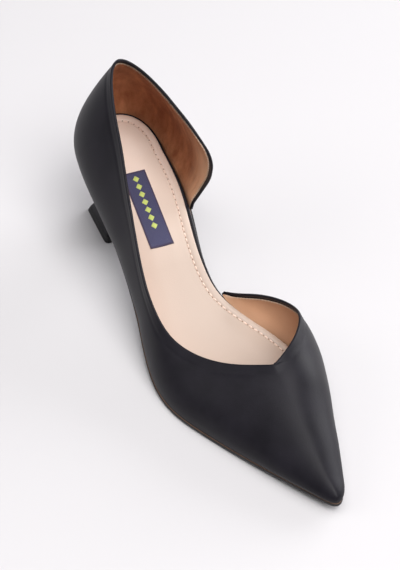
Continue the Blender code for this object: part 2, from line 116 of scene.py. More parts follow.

# Length, thickness and dip of each kind of thread, and of the needle holes' dark marks of painted shade
LINING_STITCH = (1.3, 0.6, 0.12)
SOCK_STITCH = (2.4, 0.95, 0.3)
SOCK_HOLE_SHADE_MARK = (0.8, 0.65, 0.04)

# Insole and outsole, millimetres
GAP = 0.3
BOARD_THICK = 2.4
WRAP_AND_GAP_SHADE_LIP = 1.15
LIP_FROM = 0.5
LIP_OVER = 0.8
SOCK_THICK = 1.2
SOCK_CROWN = 0.9
SOCK_CROWN_LONG = 11
SOCK_SEAM = 4.6
SOCK_GROOVE_DEEP = 0.4
SOCK_GROOVE_WIDE = 0.9
SOCK_ROLL_HIGH = 0.25
SOCK_ROLL_AT = 2.4
SOCK_ROLL_WIDE = 1.5
SOCK_PITCH = 3.5
SOCK_STITCH_RISE = 0.15
INSOLE_TOE_END = 249.0
SPINE_END = 238.0
OUTSOLE_THICK = 2.6
OUTSOLE_EDGE_LIFT = 0.5
OUTSOLE_EDGE_WIDE = 3.5
OUTSOLE_SPINE_BEGIN = 60.0
SOLE_LINE_IN = 0.2
SOLE_LINE_WAIST_IN = 1.5
SOLE_LINE_WAIST_AT = 85
SOLE_LINE_WAIST_LONG = 24
SOLE_LINE_OVER = 0.12

# Heel, millimetres
BREAST = 46.0
SEAT_INSET = 0.5
LIFT_HIGH = 4.0
HEEL_WAIST_HIGH = 28.0
HEEL_FLARE_POWER = 2.0
HEEL_FOOT_POWER = 0.85
SEAT_FRONT_SQUARENESS = 14.0
COVER_ABOVE_LIFT = 0.08
COVER_SIDE_BEGIN = 1.2
SHARP_DEGREES = 50

# How fine the surfaces are, and how many points are measured at a time
CHUNK = 2000
ROWS = 60
TOP_CROWDING = 0.35
FAN_STEPS = 34
QUARTER_STEPS = 130
VAMP_STEPS = 52
TOE_STEPS = 18
INNER_VAMP_STEPS = 110
COUNTER_STEPS = 80
THROAT_CROWDING = 1.5
EDGE_STEPS = 8
THREAD_STEPS = 9
FOOTBED_STEPS = 130
FOOTBED_END_STEPS = 9
OUTSOLE_STEPS = 90
OUTSOLE_END_STEPS = 25
HEEL_SIDE_STEPS = 30
HEEL_LOW_STEPS = 22
HEEL_FLARE_STEPS = 30
LABEL_STEPS = (70, 26)
LOZENGE_STEPS = 9

# Feather line, where the upper meets the sole, seen from above
OUTLINE = (
    ("x", "lateral", "medial"),
    (22, -25.4, 22.6),
    (50, -26.6, 23.8),
    (75, -27.0, 21.0),
    (98, -28.2, 18.6),
    (112, -29.6, 20.6),
    (125, -31.6, 28.5),
    (138, -33.2, 37.8),
    (152, -33.6, 44.6),
    (168, -30.8, 47.8),
    (190, -20.4, 43.8),
    (219, -3.8, 35.1),
    (246, 12.5, 27.7),
)
# Height of the feather line along the shoe: seat, waist, ball and toe spring
SEAM = (
    ("x", "z"),
    (-12, 57.2),
    (10, 51.4),
    (33, 44.7),
    (55, 37.9),
    (80, 29.6),
    (100, 21.8),
    (114, 15.4),
    (128, 9.0),
    (141, 4.8),
    (155, 3.0),
    (172, 2.7),
    (190, 2.8),
    (215, 3.8),
    (240, 5.8),
    (258, 7.6),
)
# Crest of the vamp from the throat to the toe
RIDGE = (
    ("x", "y", "z"),
    (187.7, 16.0, 39.5),
    (200, 17.0, 34.6),
    (214, 18.0, 28.9),
    (228, 18.8, 23.2),
    (240, 19.4, 18.4),
    (246, 19.7, 16.2),
)
# Full sections behind the throat, which the top line cuts off: their crest and their slopes beside it
CROWN = (
    ("x", "y", "z", "lateral_shoulder", "lateral_drop", "medial_shoulder", "medial_drop"),
    (140, 38.0, 49.5, 46.0, 0.24, 8.0, 0.10),
    (160, 33.0, 47.4, 39.0, 0.29, 10.0, 0.02),
    (175, 25.0, 44.2, 29.0, 0.27, 13.8, -0.05),
    (187.7, 16.0, 39.5, 17.5, 0.18, 19.0, -0.17),
)
# Top line of the outer side, from the back of the collar to the throat
LATERAL_TOP = (
    ("x", "y", "z"),
    (9.2, 0.3, 110.4),
    (14, -5.4, 109.0),
    (25, -9.9, 105.0),
    (40, -13.5, 95.8),
    (55, -16.0, 86.6),
    (70, -19.1, 76.3),
    (85, -21.8, 64.6),
    (100, -24.2, 52.8),
    (115, -25.8, 42.8),
    (130, -25.4, 35.2),
    (145, -22.0, 30.6),
    (160, -13.6, 29.7),
    (175, 0.1, 33.1),
    (187.7, 16.0, 39.5),
)
# Top line of the inner vamp, from the throat back to the sole
MEDIAL_TOP = (
    ("x", "y", "z"),
    (187.7, 16.0, 39.5),
    (186.6, 19.4, 40.8),
    (180, 29.4, 42.4),
    (170, 38.5, 41.4),
    (160, 43.7, 38.4),
    (150, 45.8, 33.2),
    (140, 44.0, 29.3),
    (132, 39.3, 27.0),
    (125, 33.4, 24.4),
    (118, 27.2, 20.7),
    (111, 22.0, 17.4),
)
# Top line of the inner counter, from the back of the collar to its forward corner
WING_TOP = (
    ("x", "y", "z"),
    (9.2, 0.3, 110.4),
    (14, 6.8, 109.2),
    (20, 10.6, 107.3),
    (30, 14.8, 104.4),
    (40, 17.9, 101.6),
    (50, 20.5, 98.6),
    (58, 22.9, 95.4),
    (66.7, 26.7, 88.0),
)
# Front edge of the inner counter, from just above the sole up to just below that corner
WING_END = 60.5
WING_EDGE = (
    ("x", "y", "z"),
    (60.6, 23.8, 40.0),
    (61.2, 25.1, 43.0),
    (63.3, 27.7, 49.9),
    (66.4, 29.4, 57.3),
    (69.4, 30.1, 64.0),
    (71.1, 30.3, 69.9),
    (71.9, 30.2, 75.1),
    (71.5, 29.5, 80.2),
    (69.7, 28.3, 84.6),
)
WING_PULL_START = 18.0
WING_LEAN = 10.0
# How each section swells: the belly stands out above the sole, the shoulder below the top line
SWELL = (
    ("x", "lateral_belly", "lateral_rise", "lateral_shoulder", "lateral_drop",
     "medial_belly", "medial_rise", "medial_shoulder", "medial_drop"),
    (-10.5, 5.0, 0.28, 11.0, 0.28, 5.0, 0.28, 11.0, 0.28),
    (22, 15.5, 0.26, 8.5, 0.34, 15.5, 0.26, 9.0, 0.34),
    (50, 11.0, 0.28, 5.5, 0.34, 12.0, 0.28, 6.0, 0.34),
    (80, 5.0, 0.32, 2.5, 0.34, 4.0, 0.30, 0.5, 0.30),
    (110, 2.0, 0.36, 1.5, 0.28, 1.0, 0.30, 0.5, 0.30),
    (130, 1.0, 0.36, 3.5, 0.22, 6.0, 0.34, 3.0, 0.35),
    (150, 1.5, 0.38, 8.0, 0.12, 10.0, 0.36, 4.0, 0.35),
    (168, 2.5, 0.40, 13.0, 0.03, 11.0, 0.36, 8.0, 0.16),
    (187.7, 4.0, 0.42, 17.5, 0.18, 10.5, 0.46, 19.0, -0.17),
    (204, 5.0, 0.43, 13.5, 0.10, 10.0, 0.47, 14.5, -0.09),
    (219, 6.0, 0.43, 10.0, 0.04, 9.5, 0.47, 10.0, -0.03),
    (246, 4.5, 0.45, 3.0, 0.0, 5.0, 0.45, 3.0, 0.0),
)
# How far a section of the outer quarter leans forward from sole to top line
LEAN = (
    ("x", "ahead"),
    (22, 14.0),
    (50, 9.0),
    (80, 4.0),
    (110, 0.6),
    (130, 0.0),
)
# Distance from the feather line in to the edge of the insole board
INSET = (
    ("x", "lateral", "medial"),
    (-12, 2.1, 2.1),
    (60, 2.1, 2.1),
    (105, 2.2, 2.1),
    (135, 3.2, 2.2),
    (165, 3.5, 2.5),
    (190, 3.4, 3.0),
    (258, 3.4, 3.2),
)
# How wide the wrapped board shows round the sock; round the heel its black rim is partly painted shade of
# the gap
WRAP_AND_GAP_SHADE_SHOWN = (
    ("x", "lateral", "medial"),
    (-12, 1.5, 1.5),
    (40, 1.5, 1.6),
    (62, 1.4, 2.2),
    (84, 1.3, 2.0),
    (102, 1.2, 1.2),
    (122, 0.8, 0.7),
    (140, 0.4, 0.4),
    (258, 0.4, 0.4),
)
# How far the outsole's edge stands out from the feather line
OUTSOLE_EDGE = (
    ("x", "lateral", "medial"),
    (46, -0.2, -0.3),
    (72, 0.0, -0.9),
    (92, 0.2, -1.3),
    (112, 0.4, -0.4),
    (135, 0.5, 0.5),
    (258, 0.5, 0.5),
)
# The heel's square sections: foot on the floor, foot at the lift, waist
HEEL_SECTIONS = (
    ("z", "back", "front", "lateral", "medial", "squareness"),
    (0.0, 0.0, 33.5, -21.0, 19.0, 16.0),
    (4.0, 1.5, 32.9, -19.6, 17.7, 16.0),
    (28.0, 11.0, 29.5, -10.6, 10.6, 9.0),
)
# Soft troughs of the leather, each along a line on the upper
CREASES = (
    ("x0", "y0", "z0", "x1", "y1", "z1", "wide", "depth"),
    (78, -29, 34, 84, -25, 54, 9.0, 0.35),
    (112, -31, 16, 120, -28, 30, 8.0, 0.25),
    (158, -35, 10, 166, -24, 24, 8.0, 0.22),
    (150, 48, 10, 156, 49, 26, 8.0, 0.22),
    (214, -3, 12, 219, 8, 24, 8.0, 0.18),
    (219, 30, 24, 214, 38, 12, 8.0, 0.18),
    (50, 31, 46, 56, 32, 70, 8.0, 0.25),
)
# Soft creases low on the inside of the counter's wing
WING_CREASES = (
    ("x0", "y0", "z0", "x1", "y1", "z1", "wide", "depth"),
    (50, 25, 41, 54, 29, 60, 0.9, 0.9),
    (54, 24, 40, 58.5, 28, 57, 0.8, 0.8),
    (44, 26, 43, 47, 30, 57, 1.1, 0.6),
    (57.5, 23, 39, 62, 27, 52, 0.7, 0.6),
)


def columns(table):
    """The named columns of a table, as arrays."""
    rows = np.array(table[1:], float)
    return {name: rows[:, i] for i, name in enumerate(table[0])}


def spline(knots, values):
    """Natural cubic spline through values at knots, as a function of an array."""
    count = len(knots)
    step = np.diff(knots)
    matrix = np.eye(count)
    right = np.zeros(count)
    for i in range(1, count - 1):
        matrix[i, i - 1:i + 2] = step[i - 1], 2*(step[i - 1] + step[i]), step[i]
        right[i] = 6*((values[i + 1] - values[i])/step[i] - (values[i] - values[i - 1])/step[i - 1])
    bend = np.linalg.solve(matrix, right)

    def at(x):
        x = np.clip(x, knots[0], knots[-1])
        j = np.clip(np.searchsorted(knots, x) - 1, 0, count - 2)
        a = (knots[j + 1] - x)/step[j]
        b = (x - knots[j])/step[j]
        curve = (a**3 - a)*bend[j] + (b**3 - b)*bend[j + 1]
        return a*values[j] + b*values[j + 1] + curve*step[j]**2/6

    return at


def splines(table, key=None):
    """A spline for each column of a table on its x column, or on what key makes of that column."""
    named = columns(table)
    at = named["x"] if key is None else key(named["x"])
    order = np.argsort(at)
    return {name: spline(at[order], values[order]) for name, values in named.items()}


def smooth(v):
    """Soft step from 0 to 1."""
    v = np.clip(v, 0, 1)
    return v*v*(3 - 2*v)


def bump(v):
    """Bell curve of height 1 and width 1."""
    return np.exp(-v*v)


def unit(vectors):
    """Vectors scaled to length 1."""
    return vectors/np.maximum(np.linalg.norm(vectors, axis=-1, keepdims=True), 1e-9)


def behind_collar(x):
    """Root of the distance from the back of the collar, so that the top line is round there."""
    return np.sqrt(np.clip(x - COLLAR_BACK, 0, None))


def behind_throat(x):
    """Root of the distance back from the throat's point."""
    return np.sqrt(np.clip(THROAT - x, 0, None))


outline = splines(OUTLINE)
seam = splines(SEAM)["z"]
ridge = splines(RIDGE)
crown = splines(CROWN)
lateral_top = splines(LATERAL_TOP, key=behind_collar)
medial_top = splines(MEDIAL_TOP, key=behind_throat)
wing_top = splines(WING_TOP, key=behind_collar)
swell = splines(SWELL)
lean = splines(LEAN)["ahead"]
inset = splines(INSET)
wrap_and_gap_shade_shown = splines(WRAP_AND_GAP_SHADE_SHOWN)
outsole_edge = splines(OUTSOLE_EDGE)
side_name = {LATERAL: "lateral", MEDIAL: "medial"}


def toe_close(share, value, slope):
    """A size that runs on with its slope from share 0 and closes like a round end at share 1."""
    return np.sqrt(np.clip(1 - share, 0, 1))*(value + (slope + 0.5*value)*share)


def plan_half(x):
    """Half of the outline's width."""
    return 0.5*(outline["medial"](x) - outline["lateral"](x))


def plan_middle(x):
    """Middle of the outline between its two sides."""
    return 0.5*(outline["medial"](x) + outline["lateral"](x))


def feather(side, x):
    """Plan of the feather line: a superellipse round the heel, the outline table, and a rounded toe."""
    share = np.clip((HEEL_WIDEST - x)/(HEEL_WIDEST - HEEL_BACK), 0, 1)
    across = side*plan_half(HEEL_WIDEST)*(1 - share**HEEL_ROUNDNESS)**(1/HEEL_ROUNDNESS)
    heel = plan_middle(HEEL_WIDEST) + across
    body = outline[side_name[side]](x)
    start = TOE_ROUND_START - np.array([0.0, 1.0])
    half_toe, half_before = plan_half(start)
    mid_toe, mid_before = plan_middle(start)
    share = np.clip((x - TOE_ROUND_START)/TOE_LONG, 0, 1)
    centre = mid_toe + (mid_toe - mid_before)*TOE_LONG*share*(1 - 0.5*share)
    toe = centre + side*toe_close(share, half_toe, (half_toe - half_before)*TOE_LONG)
    return np.where(x < HEEL_WIDEST, heel, np.where(x > TOE_ROUND_START, toe, body))


def crest(x):
    """Ridge of the vamp, rounding down to the toe's tip."""
    share = np.clip((x - TOE_ROUND_START)/TOE_LONG, 0, 1)
    tip = seam(TOE_TIP) + TOE_DEPTH
    rise = ridge["z"](TOE_ROUND_START) - tip
    slope = (ridge["z"](TOE_ROUND_START) - ridge["z"](TOE_ROUND_START - 1))*TOE_LONG
    z = np.where(share > 0, tip + toe_close(share, rise, slope), ridge["z"](x))
    centre = 0.5*(feather(MEDIAL, x) + feather(LATERAL, x))
    aside = (ridge["y"](TOE_ROUND_START) - plan_middle(TOE_ROUND_START))*(1 - share)
    y = np.where(share > 0, centre + aside, ridge["y"](x))
    return np.stack([x, y, z], 1)


def feather_points(side, x):
    """Points of the feather line and the level direction that points out of the shoe there."""
    points = np.stack([x, feather(side, x), seam(x)], 1)
    run = np.gradient(points[:, :2], axis=0)
    out = unit(side*np.stack([-run[:, 1], run[:, 0], 0*x], 1))
    out[x <= HEEL_BACK] = (-1, 0, 0)
    out[x >= TOE_TIP] = (1, 0, 0)
    return points, out


def crowded(count):
    """Shares from 0 to 1 whose spacing falls evenly, down to a part of the mean at 1."""
    left = 1 - np.linspace(0, 1, count)
    return 1 - TOP_CROWDING*left - (1 - TOP_CROWDING)*left**2


def section_controls(side, x, top, near_top):
    """The four control points of each section: feather line, belly, shoulder and top."""
    foot, out = feather_points(side, x)
    belly, rise = (swell[f"{side_name[side]}_{part}"](x) for part in ("belly", "rise"))
    shoulder, drop = (near_top[f"{side_name[side]}_{part}"](x) for part in ("shoulder", "drop"))
    high = top[:, 2] - foot[:, 2]
    close = np.sqrt(np.clip((TOE_TIP - x)/TOE_LONG, 0, 1))
    turn = smooth((x - TURN_START)/TURN_LONG)[:, None]
    across = np.array([0.0, side, 0.0])*turn + out*(1 - turn)
    up = np.array([0.0, 0.0, 1.0])
    low = foot + out*(belly*close)[:, None] + up*(rise*high)[:, None]
    near = top + across*(shoulder*close)[:, None] - up*(drop*high)[:, None]
    return foot, low, near, top


def cubic(controls, t):
    """Points of cubic curves, a curve for each row of the controls and of the parameter t."""
    foot, low, near, top = (p[:, None, :] for p in controls)
    t = t[..., None]
    return foot*(1 - t)**3 + 3*low*t*(1 - t)**2 + 3*near*t**2*(1 - t) + top*t**3


def wall(side, x, top):
    """Sections of the upper: cubic curves from feather line to top line, by way of belly and shoulder."""
    return cubic(section_controls(side, x, top, swell), crowded(ROWS)[None, :])


def cut_wall(side, x, top):
    """Full sections up to the crest, cut off at the top line's reach and drawn up or down to meet it."""
    controls = section_controls(side, x, np.stack([x, crown["y"](x), crown["z"](x)], 1), crown)
    low = np.full_like(x, CUT_LOWEST)
    high = np.ones_like(x)
    for _ in range(HALVINGS):
        middle = 0.5*(low + high)
        beyond = side*(cubic(controls, middle[:, None])[:, 0, 1] - top[:, 1]) > 0
        low = np.where(beyond, middle, low)
        high = np.where(beyond, high, middle)
    share = crowded(ROWS)[None, :]
    grid = cubic(controls, share*high[:, None])
    return grid + (top - grid[:, -1])[:, None, :]*(share**2)[..., None]


def waist_wall(side, x, top):
    """Sections behind the throat: drawn up to the top line at the waist, cut from full ones further on."""
    drawn = wall(side, x, top)
    share = smooth((x - CUT_START)/(CUT_FULL - CUT_START))[:, None, None]
    return drawn + share*(cut_wall(side, x, top) - drawn)


def heel_fan():
    """Stations round the back of the heel and each one's share of the way forward to the widest place."""
    ahead = 1 - np.cos(np.linspace(0, np.pi/2, FAN_STEPS))**(2/HEEL_ROUNDNESS)
    return HEEL_BACK + (HEEL_WIDEST - HEEL_BACK)*ahead, ahead


def vamp_stations():
    """Stations ahead of the throat, closing up towards the tip of the toe."""
    body = np.linspace(THROAT, TOE_ROUND_START, VAMP_STEPS)[1:]
    toe = TOE_TIP - TOE_LONG*(1 - np.linspace(0, 1, TOE_STEPS))**2
    return np.concatenate([body, toe[1:]])


def top_points(line, x, root):
    """Points of a top line at stations x, from the root distance that its splines run on."""
    return np.stack([x, line["y"](root), line["z"](root)], 1)


def outer_quarter():
    """Lateral wall from the back of the heel to the toe: stations and a grid of points."""
    fan, ahead = heel_fan()
    body = np.linspace(HEEL_WIDEST, THROAT, QUARTER_STEPS)[1:]
    fan_top = COLLAR_BACK + (HEEL_WIDEST + lean(HEEL_WIDEST) - COLLAR_BACK)*ahead
    top_x = np.concatenate([fan_top, body + lean(body)])
    top = top_points(lateral_top, top_x, behind_collar(top_x))
    vamp = vamp_stations()
    behind = np.concatenate([fan, body])
    x = np.concatenate([behind, vamp])
    grid = wall(LATERAL, x, np.concatenate([top, crest(vamp)]))
    grid[len(fan):len(behind)] = waist_wall(LATERAL, behind, top)[len(fan):]
    return x, grid


def inner_vamp():
    """Medial wall from the end of the open waist to the toe: stations and a grid of points."""
    first = MEDIAL_TOP[-1][0]
    body = THROAT - (THROAT - first)*np.linspace(1, 0, INNER_VAMP_STEPS)**THROAT_CROWDING
    top = top_points(medial_top, body, behind_throat(body))
    ahead = vamp_stations()
    x = np.concatenate([body, ahead])
    grid = wall(MEDIAL, x, np.concatenate([top, crest(ahead)]))
    grid[:len(body)] = waist_wall(MEDIAL, body, top)
    return x, grid


def eased(stations, grid):
    """A wall whose sections near the throat are averaged along the shoe, all but the top ones."""
    wide = np.maximum(EASE_WIDE*bump((stations - THROAT)/EASE_LONG), 1e-3)
    weight = bump((stations[None, :] - stations[:, None])/wide[:, None])*np.gradient(stations)[None, :]
    weight /= weight.sum(1, keepdims=True)
    mean = np.einsum("ik,kjc->ijc", weight, grid)
    share = smooth((1 - crowded(ROWS))/EASE_TOP)[None, :, None]
    share = share*(EASE_LEAST < wide)[:, None, None]
    return grid + share*(mean - grid)


def arc_length(points):
    """Distance along a path to each of its points."""
    return np.concatenate([[0], np.cumsum(np.linalg.norm(np.diff(points, axis=0), axis=1))])


def inner_counter():
    """Medial wall of the heel; its last column is the wing's front edge, which pulls the others forward."""
    fan, ahead = heel_fan()
    body = HEEL_WIDEST + (WING_END - HEEL_WIDEST)*crowded(COUNTER_STEPS)[1:]
    corner = np.array(WING_TOP[-1])
    first = HEEL_WIDEST + WING_LEAN
    fan_top = COLLAR_BACK + (first - COLLAR_BACK)*ahead
    body_top = first + (body - HEEL_WIDEST)*(corner[0] - first)/(WING_END - HEEL_WIDEST)
    top_x = np.concatenate([fan_top, body_top])
    top = top_points(wing_top, top_x, behind_collar(top_x))
    x = np.concatenate([fan, body])
    grid = wall(MEDIAL, x, top)
    edge = np.vstack([grid[-1, :1], np.array(WING_EDGE[1:], float), corner[None]])
    along = arc_length(edge)
    share = crowded(ROWS)*along[-1]
    edge = np.stack([spline(along, edge[:, k])(share) for k in range(3)], 1)
    pull = smooth((x - WING_PULL_START)/(WING_END - WING_PULL_START))
    return x, grid + pull[:, None, None]*(edge - grid[-1])[None]


def grid_quads(number, flip=False):
    """Quads of a grid of point numbers, or of a stack of grids."""
    corners = (number[..., :-1, :-1], number[..., 1:, :-1], number[..., 1:, 1:], number[..., :-1, 1:])
    quads = np.stack(corners, -1).reshape(-1, 4)
    return quads[:, ::-1] if flip else quads


def weld(points):
    """One point for each place, and each old point's new number."""
    _, keep, place = np.unique(np.round(points, 3), axis=0, return_index=True, return_inverse=True)
    return points[keep], place.reshape(-1)


def weld_grids(grids):
    """Welded points of several grids, each old point's new number, and the numbers of each grid."""
    points, place = weld(np.vstack([grid[..., :3].reshape(-1, 3) for grid in grids]))
    ends = np.cumsum([grid.shape[0]*grid.shape[1] for grid in grids])
    parts = np.split(place, ends[:-1])
    return points, place, [part.reshape(grid.shape[:2]) for part, grid in zip(parts, grids)]


def sums_at(numbers, vectors, count):
    """Sum of the vectors that belong to each point number."""
    return np.stack([np.bincount(numbers, vectors[:, k], count) for k in range(3)], 1)


def vertex_normals(points, quads):
    """Mean direction of the quads round each point, from the cross product of their diagonals."""
    across = np.cross(points[quads[:, 2]] - points[quads[:, 0]], points[quads[:, 3]] - points[quads[:, 1]])
    return unit(sums_at(quads.ravel(), np.repeat(across, 4, axis=0), len(points)))


def boundary(quads, count):
    """Directed edges that only one quad has."""
    a = quads.ravel().astype(np.int64)
    b = np.roll(quads, -1, axis=1).ravel().astype(np.int64)
    real = a != b
    a, b = a[real], b[real]
    alone = ~np.isin(a*count + b, b*count + a)
    return a[alone], b[alone]


def sheet_quads(quads, count):
    """Quads of a closed sheet: one face, the same with numbers higher by count, and the edge between."""
    starts, ends = boundary(quads, count)
    side = np.stack([ends, starts, starts + count, ends + count], 1)
    return np.vstack([quads, quads[:, ::-1] + count, side])


def distance_to(points, targets):
    """Distance from each point to the nearest target, worked out for a chunk of points at a time."""
    best = np.empty(len(points))
    squares = (targets**2).sum(1)
    for first in range(0, len(points), CHUNK):
        part = points[first:first + CHUNK]
        apart = (part**2).sum(1)[:, None] + squares[None] - 2*part @ targets.T
        best[first:first + CHUNK] = np.sqrt(np.maximum(apart.min(1), 0))
    return best


def relief_of(table, points):
    """Depth of a table's soft troughs at each point: a bell across each line that fades past its ends."""
    depth = np.zeros(len(points))
    for row in table[1:]:
        start, end, wide, deep = np.array(row[:3], float), np.array(row[3:6], float), row[6], row[7]
        run = end - start
        share = np.clip((points - start) @ run/(run @ run), 0, 1)
        apart = np.linalg.norm(points - start - share[:, None]*run, axis=1)
        depth += deep*bump(apart/wide)
    return depth


def even_path(points, pitch, *others):
    """Places along a path at an even pitch, the path's direction there, and other values carried along."""
    along = arc_length(points)
    places = np.arange(0.5*pitch, along[-1] - 0.25*pitch, pitch)

    def carried(values):
        return np.stack([np.interp(places, along, values[:, k]) for k in range(values.shape[1])], 1)

    middle = carried(points)
    return (middle, unit(np.gradient(middle, axis=0)), *(carried(values) for values in others))


def place_in_frame(points):
    """Points on the last, in millimetres, as metres in the frame, by the lift's back edge and its sides."""
    low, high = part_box("heel_lift")
    foot = columns(HEEL_SECTIONS)
    middle = 0.5*(foot["lateral"][0] + foot["medial"][0])
    return points*MM + np.array([low.x, 0.5*(low.y + high.y) - middle*MM, low.z])


def in_scene(name, data):
    """A new object in the scene."""
    thing = bpy.data.objects.new(name, data)
    bpy.context.scene.collection.objects.link(thing)
    return thing


def add_piece(name, points, quads, material, replaces=None, sharp=None, values=None):
    """A named mesh from points on the last and quads; quads with two equal corners become triangles."""
    points, place = weld(points)
    faces = place[quads]
    same = faces == np.roll(faces, -1, axis=1)
    keep = same.sum(1) < 2
    faces, same = faces[keep], same[keep]
    short = same.any(1)
    first = same[short].argmax(1)
    order = (first[:, None] + np.array([1, 2, 3])) % 4
    triangles = np.take_along_axis(faces[short], order, axis=1)
    mesh = bpy.data.meshes.new(name)
    mesh.from_pydata(place_in_frame(points).tolist(), [], faces[~short].tolist() + triangles.tolist())
    mesh.validate()
    mesh.shade_smooth()
    if sharp is not None:
        mesh.set_sharp_from_angle(angle=np.radians(sharp))
    for key, numbers in (values or {}).items():
        welded = np.zeros(len(points), np.float32)
        welded[place] = numbers
        mesh.attributes.new(key, "FLOAT", "POINT").data.foreach_set("value", welded)
    mesh.materials.append(material)
    piece = in_scene(name, mesh)
    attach(piece, "root")
    if replaces:
        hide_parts(replaces)
    return piece


# Materials


def new_material(name, roughness, specular=0.5, coat=0.0, coat_roughness=0.3, sheen=0.0, sheen_roughness=0.5,
                 sheen_tint=(1.0, 1.0, 1.0)):
    """A material with its plain values set, its node tree, its shader and its coordinates."""
    material = bpy.data.materials.new(name)
    material.use_nodes = True
    tree = material.node_tree
    shader = tree.nodes["Principled BSDF"]
    plain = {
        "Roughness": roughness,
        "Specular IOR Level": specular,
        "Coat Weight": coat,
        "Coat Roughness": coat_roughness,
        "Sheen Weight": sheen,
        "Sheen Roughness": sheen_roughness,
        "Sheen Tint": (*sheen_tint, 1.0),
    }
    for key, value in plain.items():
        shader.inputs[key].default_value = value
    return material, tree, shader, coordinates(tree)


def node(tree, kind, inputs=None, **settings):
    """A node with its settings, and with inputs set to values or linked to other nodes' outputs."""
    made = tree.nodes.new(kind)
    for name, value in settings.items():
        setattr(made, name, value)
    for name, value in (inputs or {}).items():
        if isinstance(value, bpy.types.NodeSocket):
            tree.links.new(value, made.inputs[name])
        else:
            made.inputs[name].default_value = value
    return made


def coordinates(tree, stretch=(1.0, 1.0, 1.0)):
    """Object coordinates in metres, stretched along the axes."""
    place = node(tree, "ShaderNodeTexCoord").outputs["Object"]
    return node(tree, "ShaderNodeMapping", {"Vector": place, "Scale": stretch}).outputs["Vector"]


def noise(tree, place, scale, detail=3.0, roughness=0.55):
    """Cloudy noise, with so many clouds to the metre."""
    inputs = {"Vector": place, "Scale": scale, "Detail": detail, "Roughness": roughness}
    return node(tree, "ShaderNodeTexNoise", inputs).outputs["Fac"]


def wave(tree, place, direction, distortion=0.0):
    """Fine bands like those of yarn."""
    inputs = {"Vector": place, "Scale": 900.0, "Distortion": distortion}
    return node(tree, "ShaderNodeTexWave", inputs, bands_direction=direction).outputs["Fac"]


def attribute(tree, name):
    """A number that the mesh carries at each of its points."""
    return node(tree, "ShaderNodeAttribute", attribute_name=name).outputs["Fac"]


def pebbles(tree, place, scale):
    """Small rounded cells, with so many to the metre: the distance to each cell's middle."""
    return node(tree, "ShaderNodeTexVoronoi", {"Vector": place, "Scale": scale}).outputs["Distance"]


def between(tree, share, low, high, start=0.3, end=0.7):
    """A number that runs from low to high as share runs from start to end."""
    inputs = {"Value": share, "From Min": start, "From Max": end, "To Min": low, "To Max": high}
    return node(tree, "ShaderNodeMapRange", inputs).outputs["Result"]


def blend(tree, share, first, second):
    """A colour between two colours, or two colour outputs."""
    made = node(tree, "ShaderNodeMix", data_type="RGBA")
    for socket, value in ((made.inputs[0], share), (made.inputs[6], first), (made.inputs[7], second)):
        if isinstance(value, bpy.types.NodeSocket):
            tree.links.new(value, socket)
        else:
            socket.default_value = (*value, 1.0) if isinstance(value, tuple) else value
    return made.outputs[2]


def sum_of(tree, *terms):
    """Sum of outputs, each times its weight."""
    total = None
    for output, weight in terms:
        part = node(tree, "ShaderNodeMath", {0: output, 1: weight}, operation="MULTIPLY").outputs[0]
        total = part if total is None else node(tree, "ShaderNodeMath", {0: total, 1: part}).outputs[0]
    return total


def finish(tree, shader, colour, roughness, height, depth):
    """Links colour, roughness and a bump of the given depth in metres to the shader."""
    tree.links.new(colour, shader.inputs["Base Color"])
    tree.links.new(roughness, shader.inputs["Roughness"])
    raised = node(tree, "ShaderNodeBump", {"Height": height, "Distance": depth, "Strength": 1.0})
    tree.links.new(raised.outputs["Normal"], shader.inputs["Normal"])


def black_leather(name, roughness=(0.40, 0.50)):
    """Fine grained black leather: pebbles and pores, cloudy gloss, a slight blue cast."""
    material, tree, shader, place = new_material(name, roughness[0], specular=0.17, coat=0.02)
    clouds = noise(tree, place, 60.0, 5.0)
    pores = noise(tree, place, 3600.0, 2.0)
    grain = pebbles(tree, place, 1500.0)
    share = between(tree, clouds, 0.0, 1.0)
    colour = blend(tree, share, (0.0088, 0.0080, 0.0114), (0.0146, 0.0133, 0.0186))
    gloss = between(tree, sum_of(tree, (clouds, 0.7), (pores, 0.3)), *roughness)
    finish(tree, shader, colour, gloss, sum_of(tree, (grain, 0.7), (pores, 0.5)), 0.00003)
    return material


def counter_suede():
    """Brown suede: a short nap in two tones, paler where cut; painted highlight low towards the wing's
    front.
    """
    material, tree, shader, place = new_material("counter_suede", 0.95, sheen=0.2, sheen_roughness=0.45,
                                                 sheen_tint=(0.85, 0.48, 0.30))
    brushed = noise(tree, coordinates(tree, (1.0, 1.0, 0.45)), 110.0, 5.0, 0.65)
    nap = noise(tree, place, 2600.0, 3.0, 0.7)
    share = between(tree, brushed, 0.0, 1.0, 0.35, 0.68)
    base = blend(tree, share, (0.32, 0.112, 0.046), (0.60, 0.255, 0.118))
    # Painted highlight: paler towards the front of the inner wing, where light from the front falls
    paler = blend(tree, attribute(tree, "painted_highlight"), base, (0.95, 0.62, 0.39))
    colour = blend(tree, attribute(tree, "cut"), paler, (0.62, 0.42, 0.29))
    height = sum_of(tree, (nap, 1.0), (brushed, 0.8))
    finish(tree, shader, colour, between(tree, nap, 0.85, 1.0), height, 0.00022)
    return material


def lining_leather():
    """Smooth tan lining leather with a fine grain, lighter where it is cut."""
    material, tree, shader, place = new_material("lining_leather", 0.5, coat=0.04, coat_roughness=0.4)
    clouds = noise(tree, place, 45.0, 4.0)
    pores = noise(tree, place, 2400.0, 3.0)
    base = blend(tree, between(tree, clouds, 0.0, 1.0), (0.56, 0.30, 0.17), (0.66, 0.375, 0.225))
    colour = blend(tree, attribute(tree, "cut"), base, (0.70, 0.50, 0.36))
    finish(tree, shader, colour, between(tree, clouds, 0.44, 0.58), pores, 0.00006)
    return material


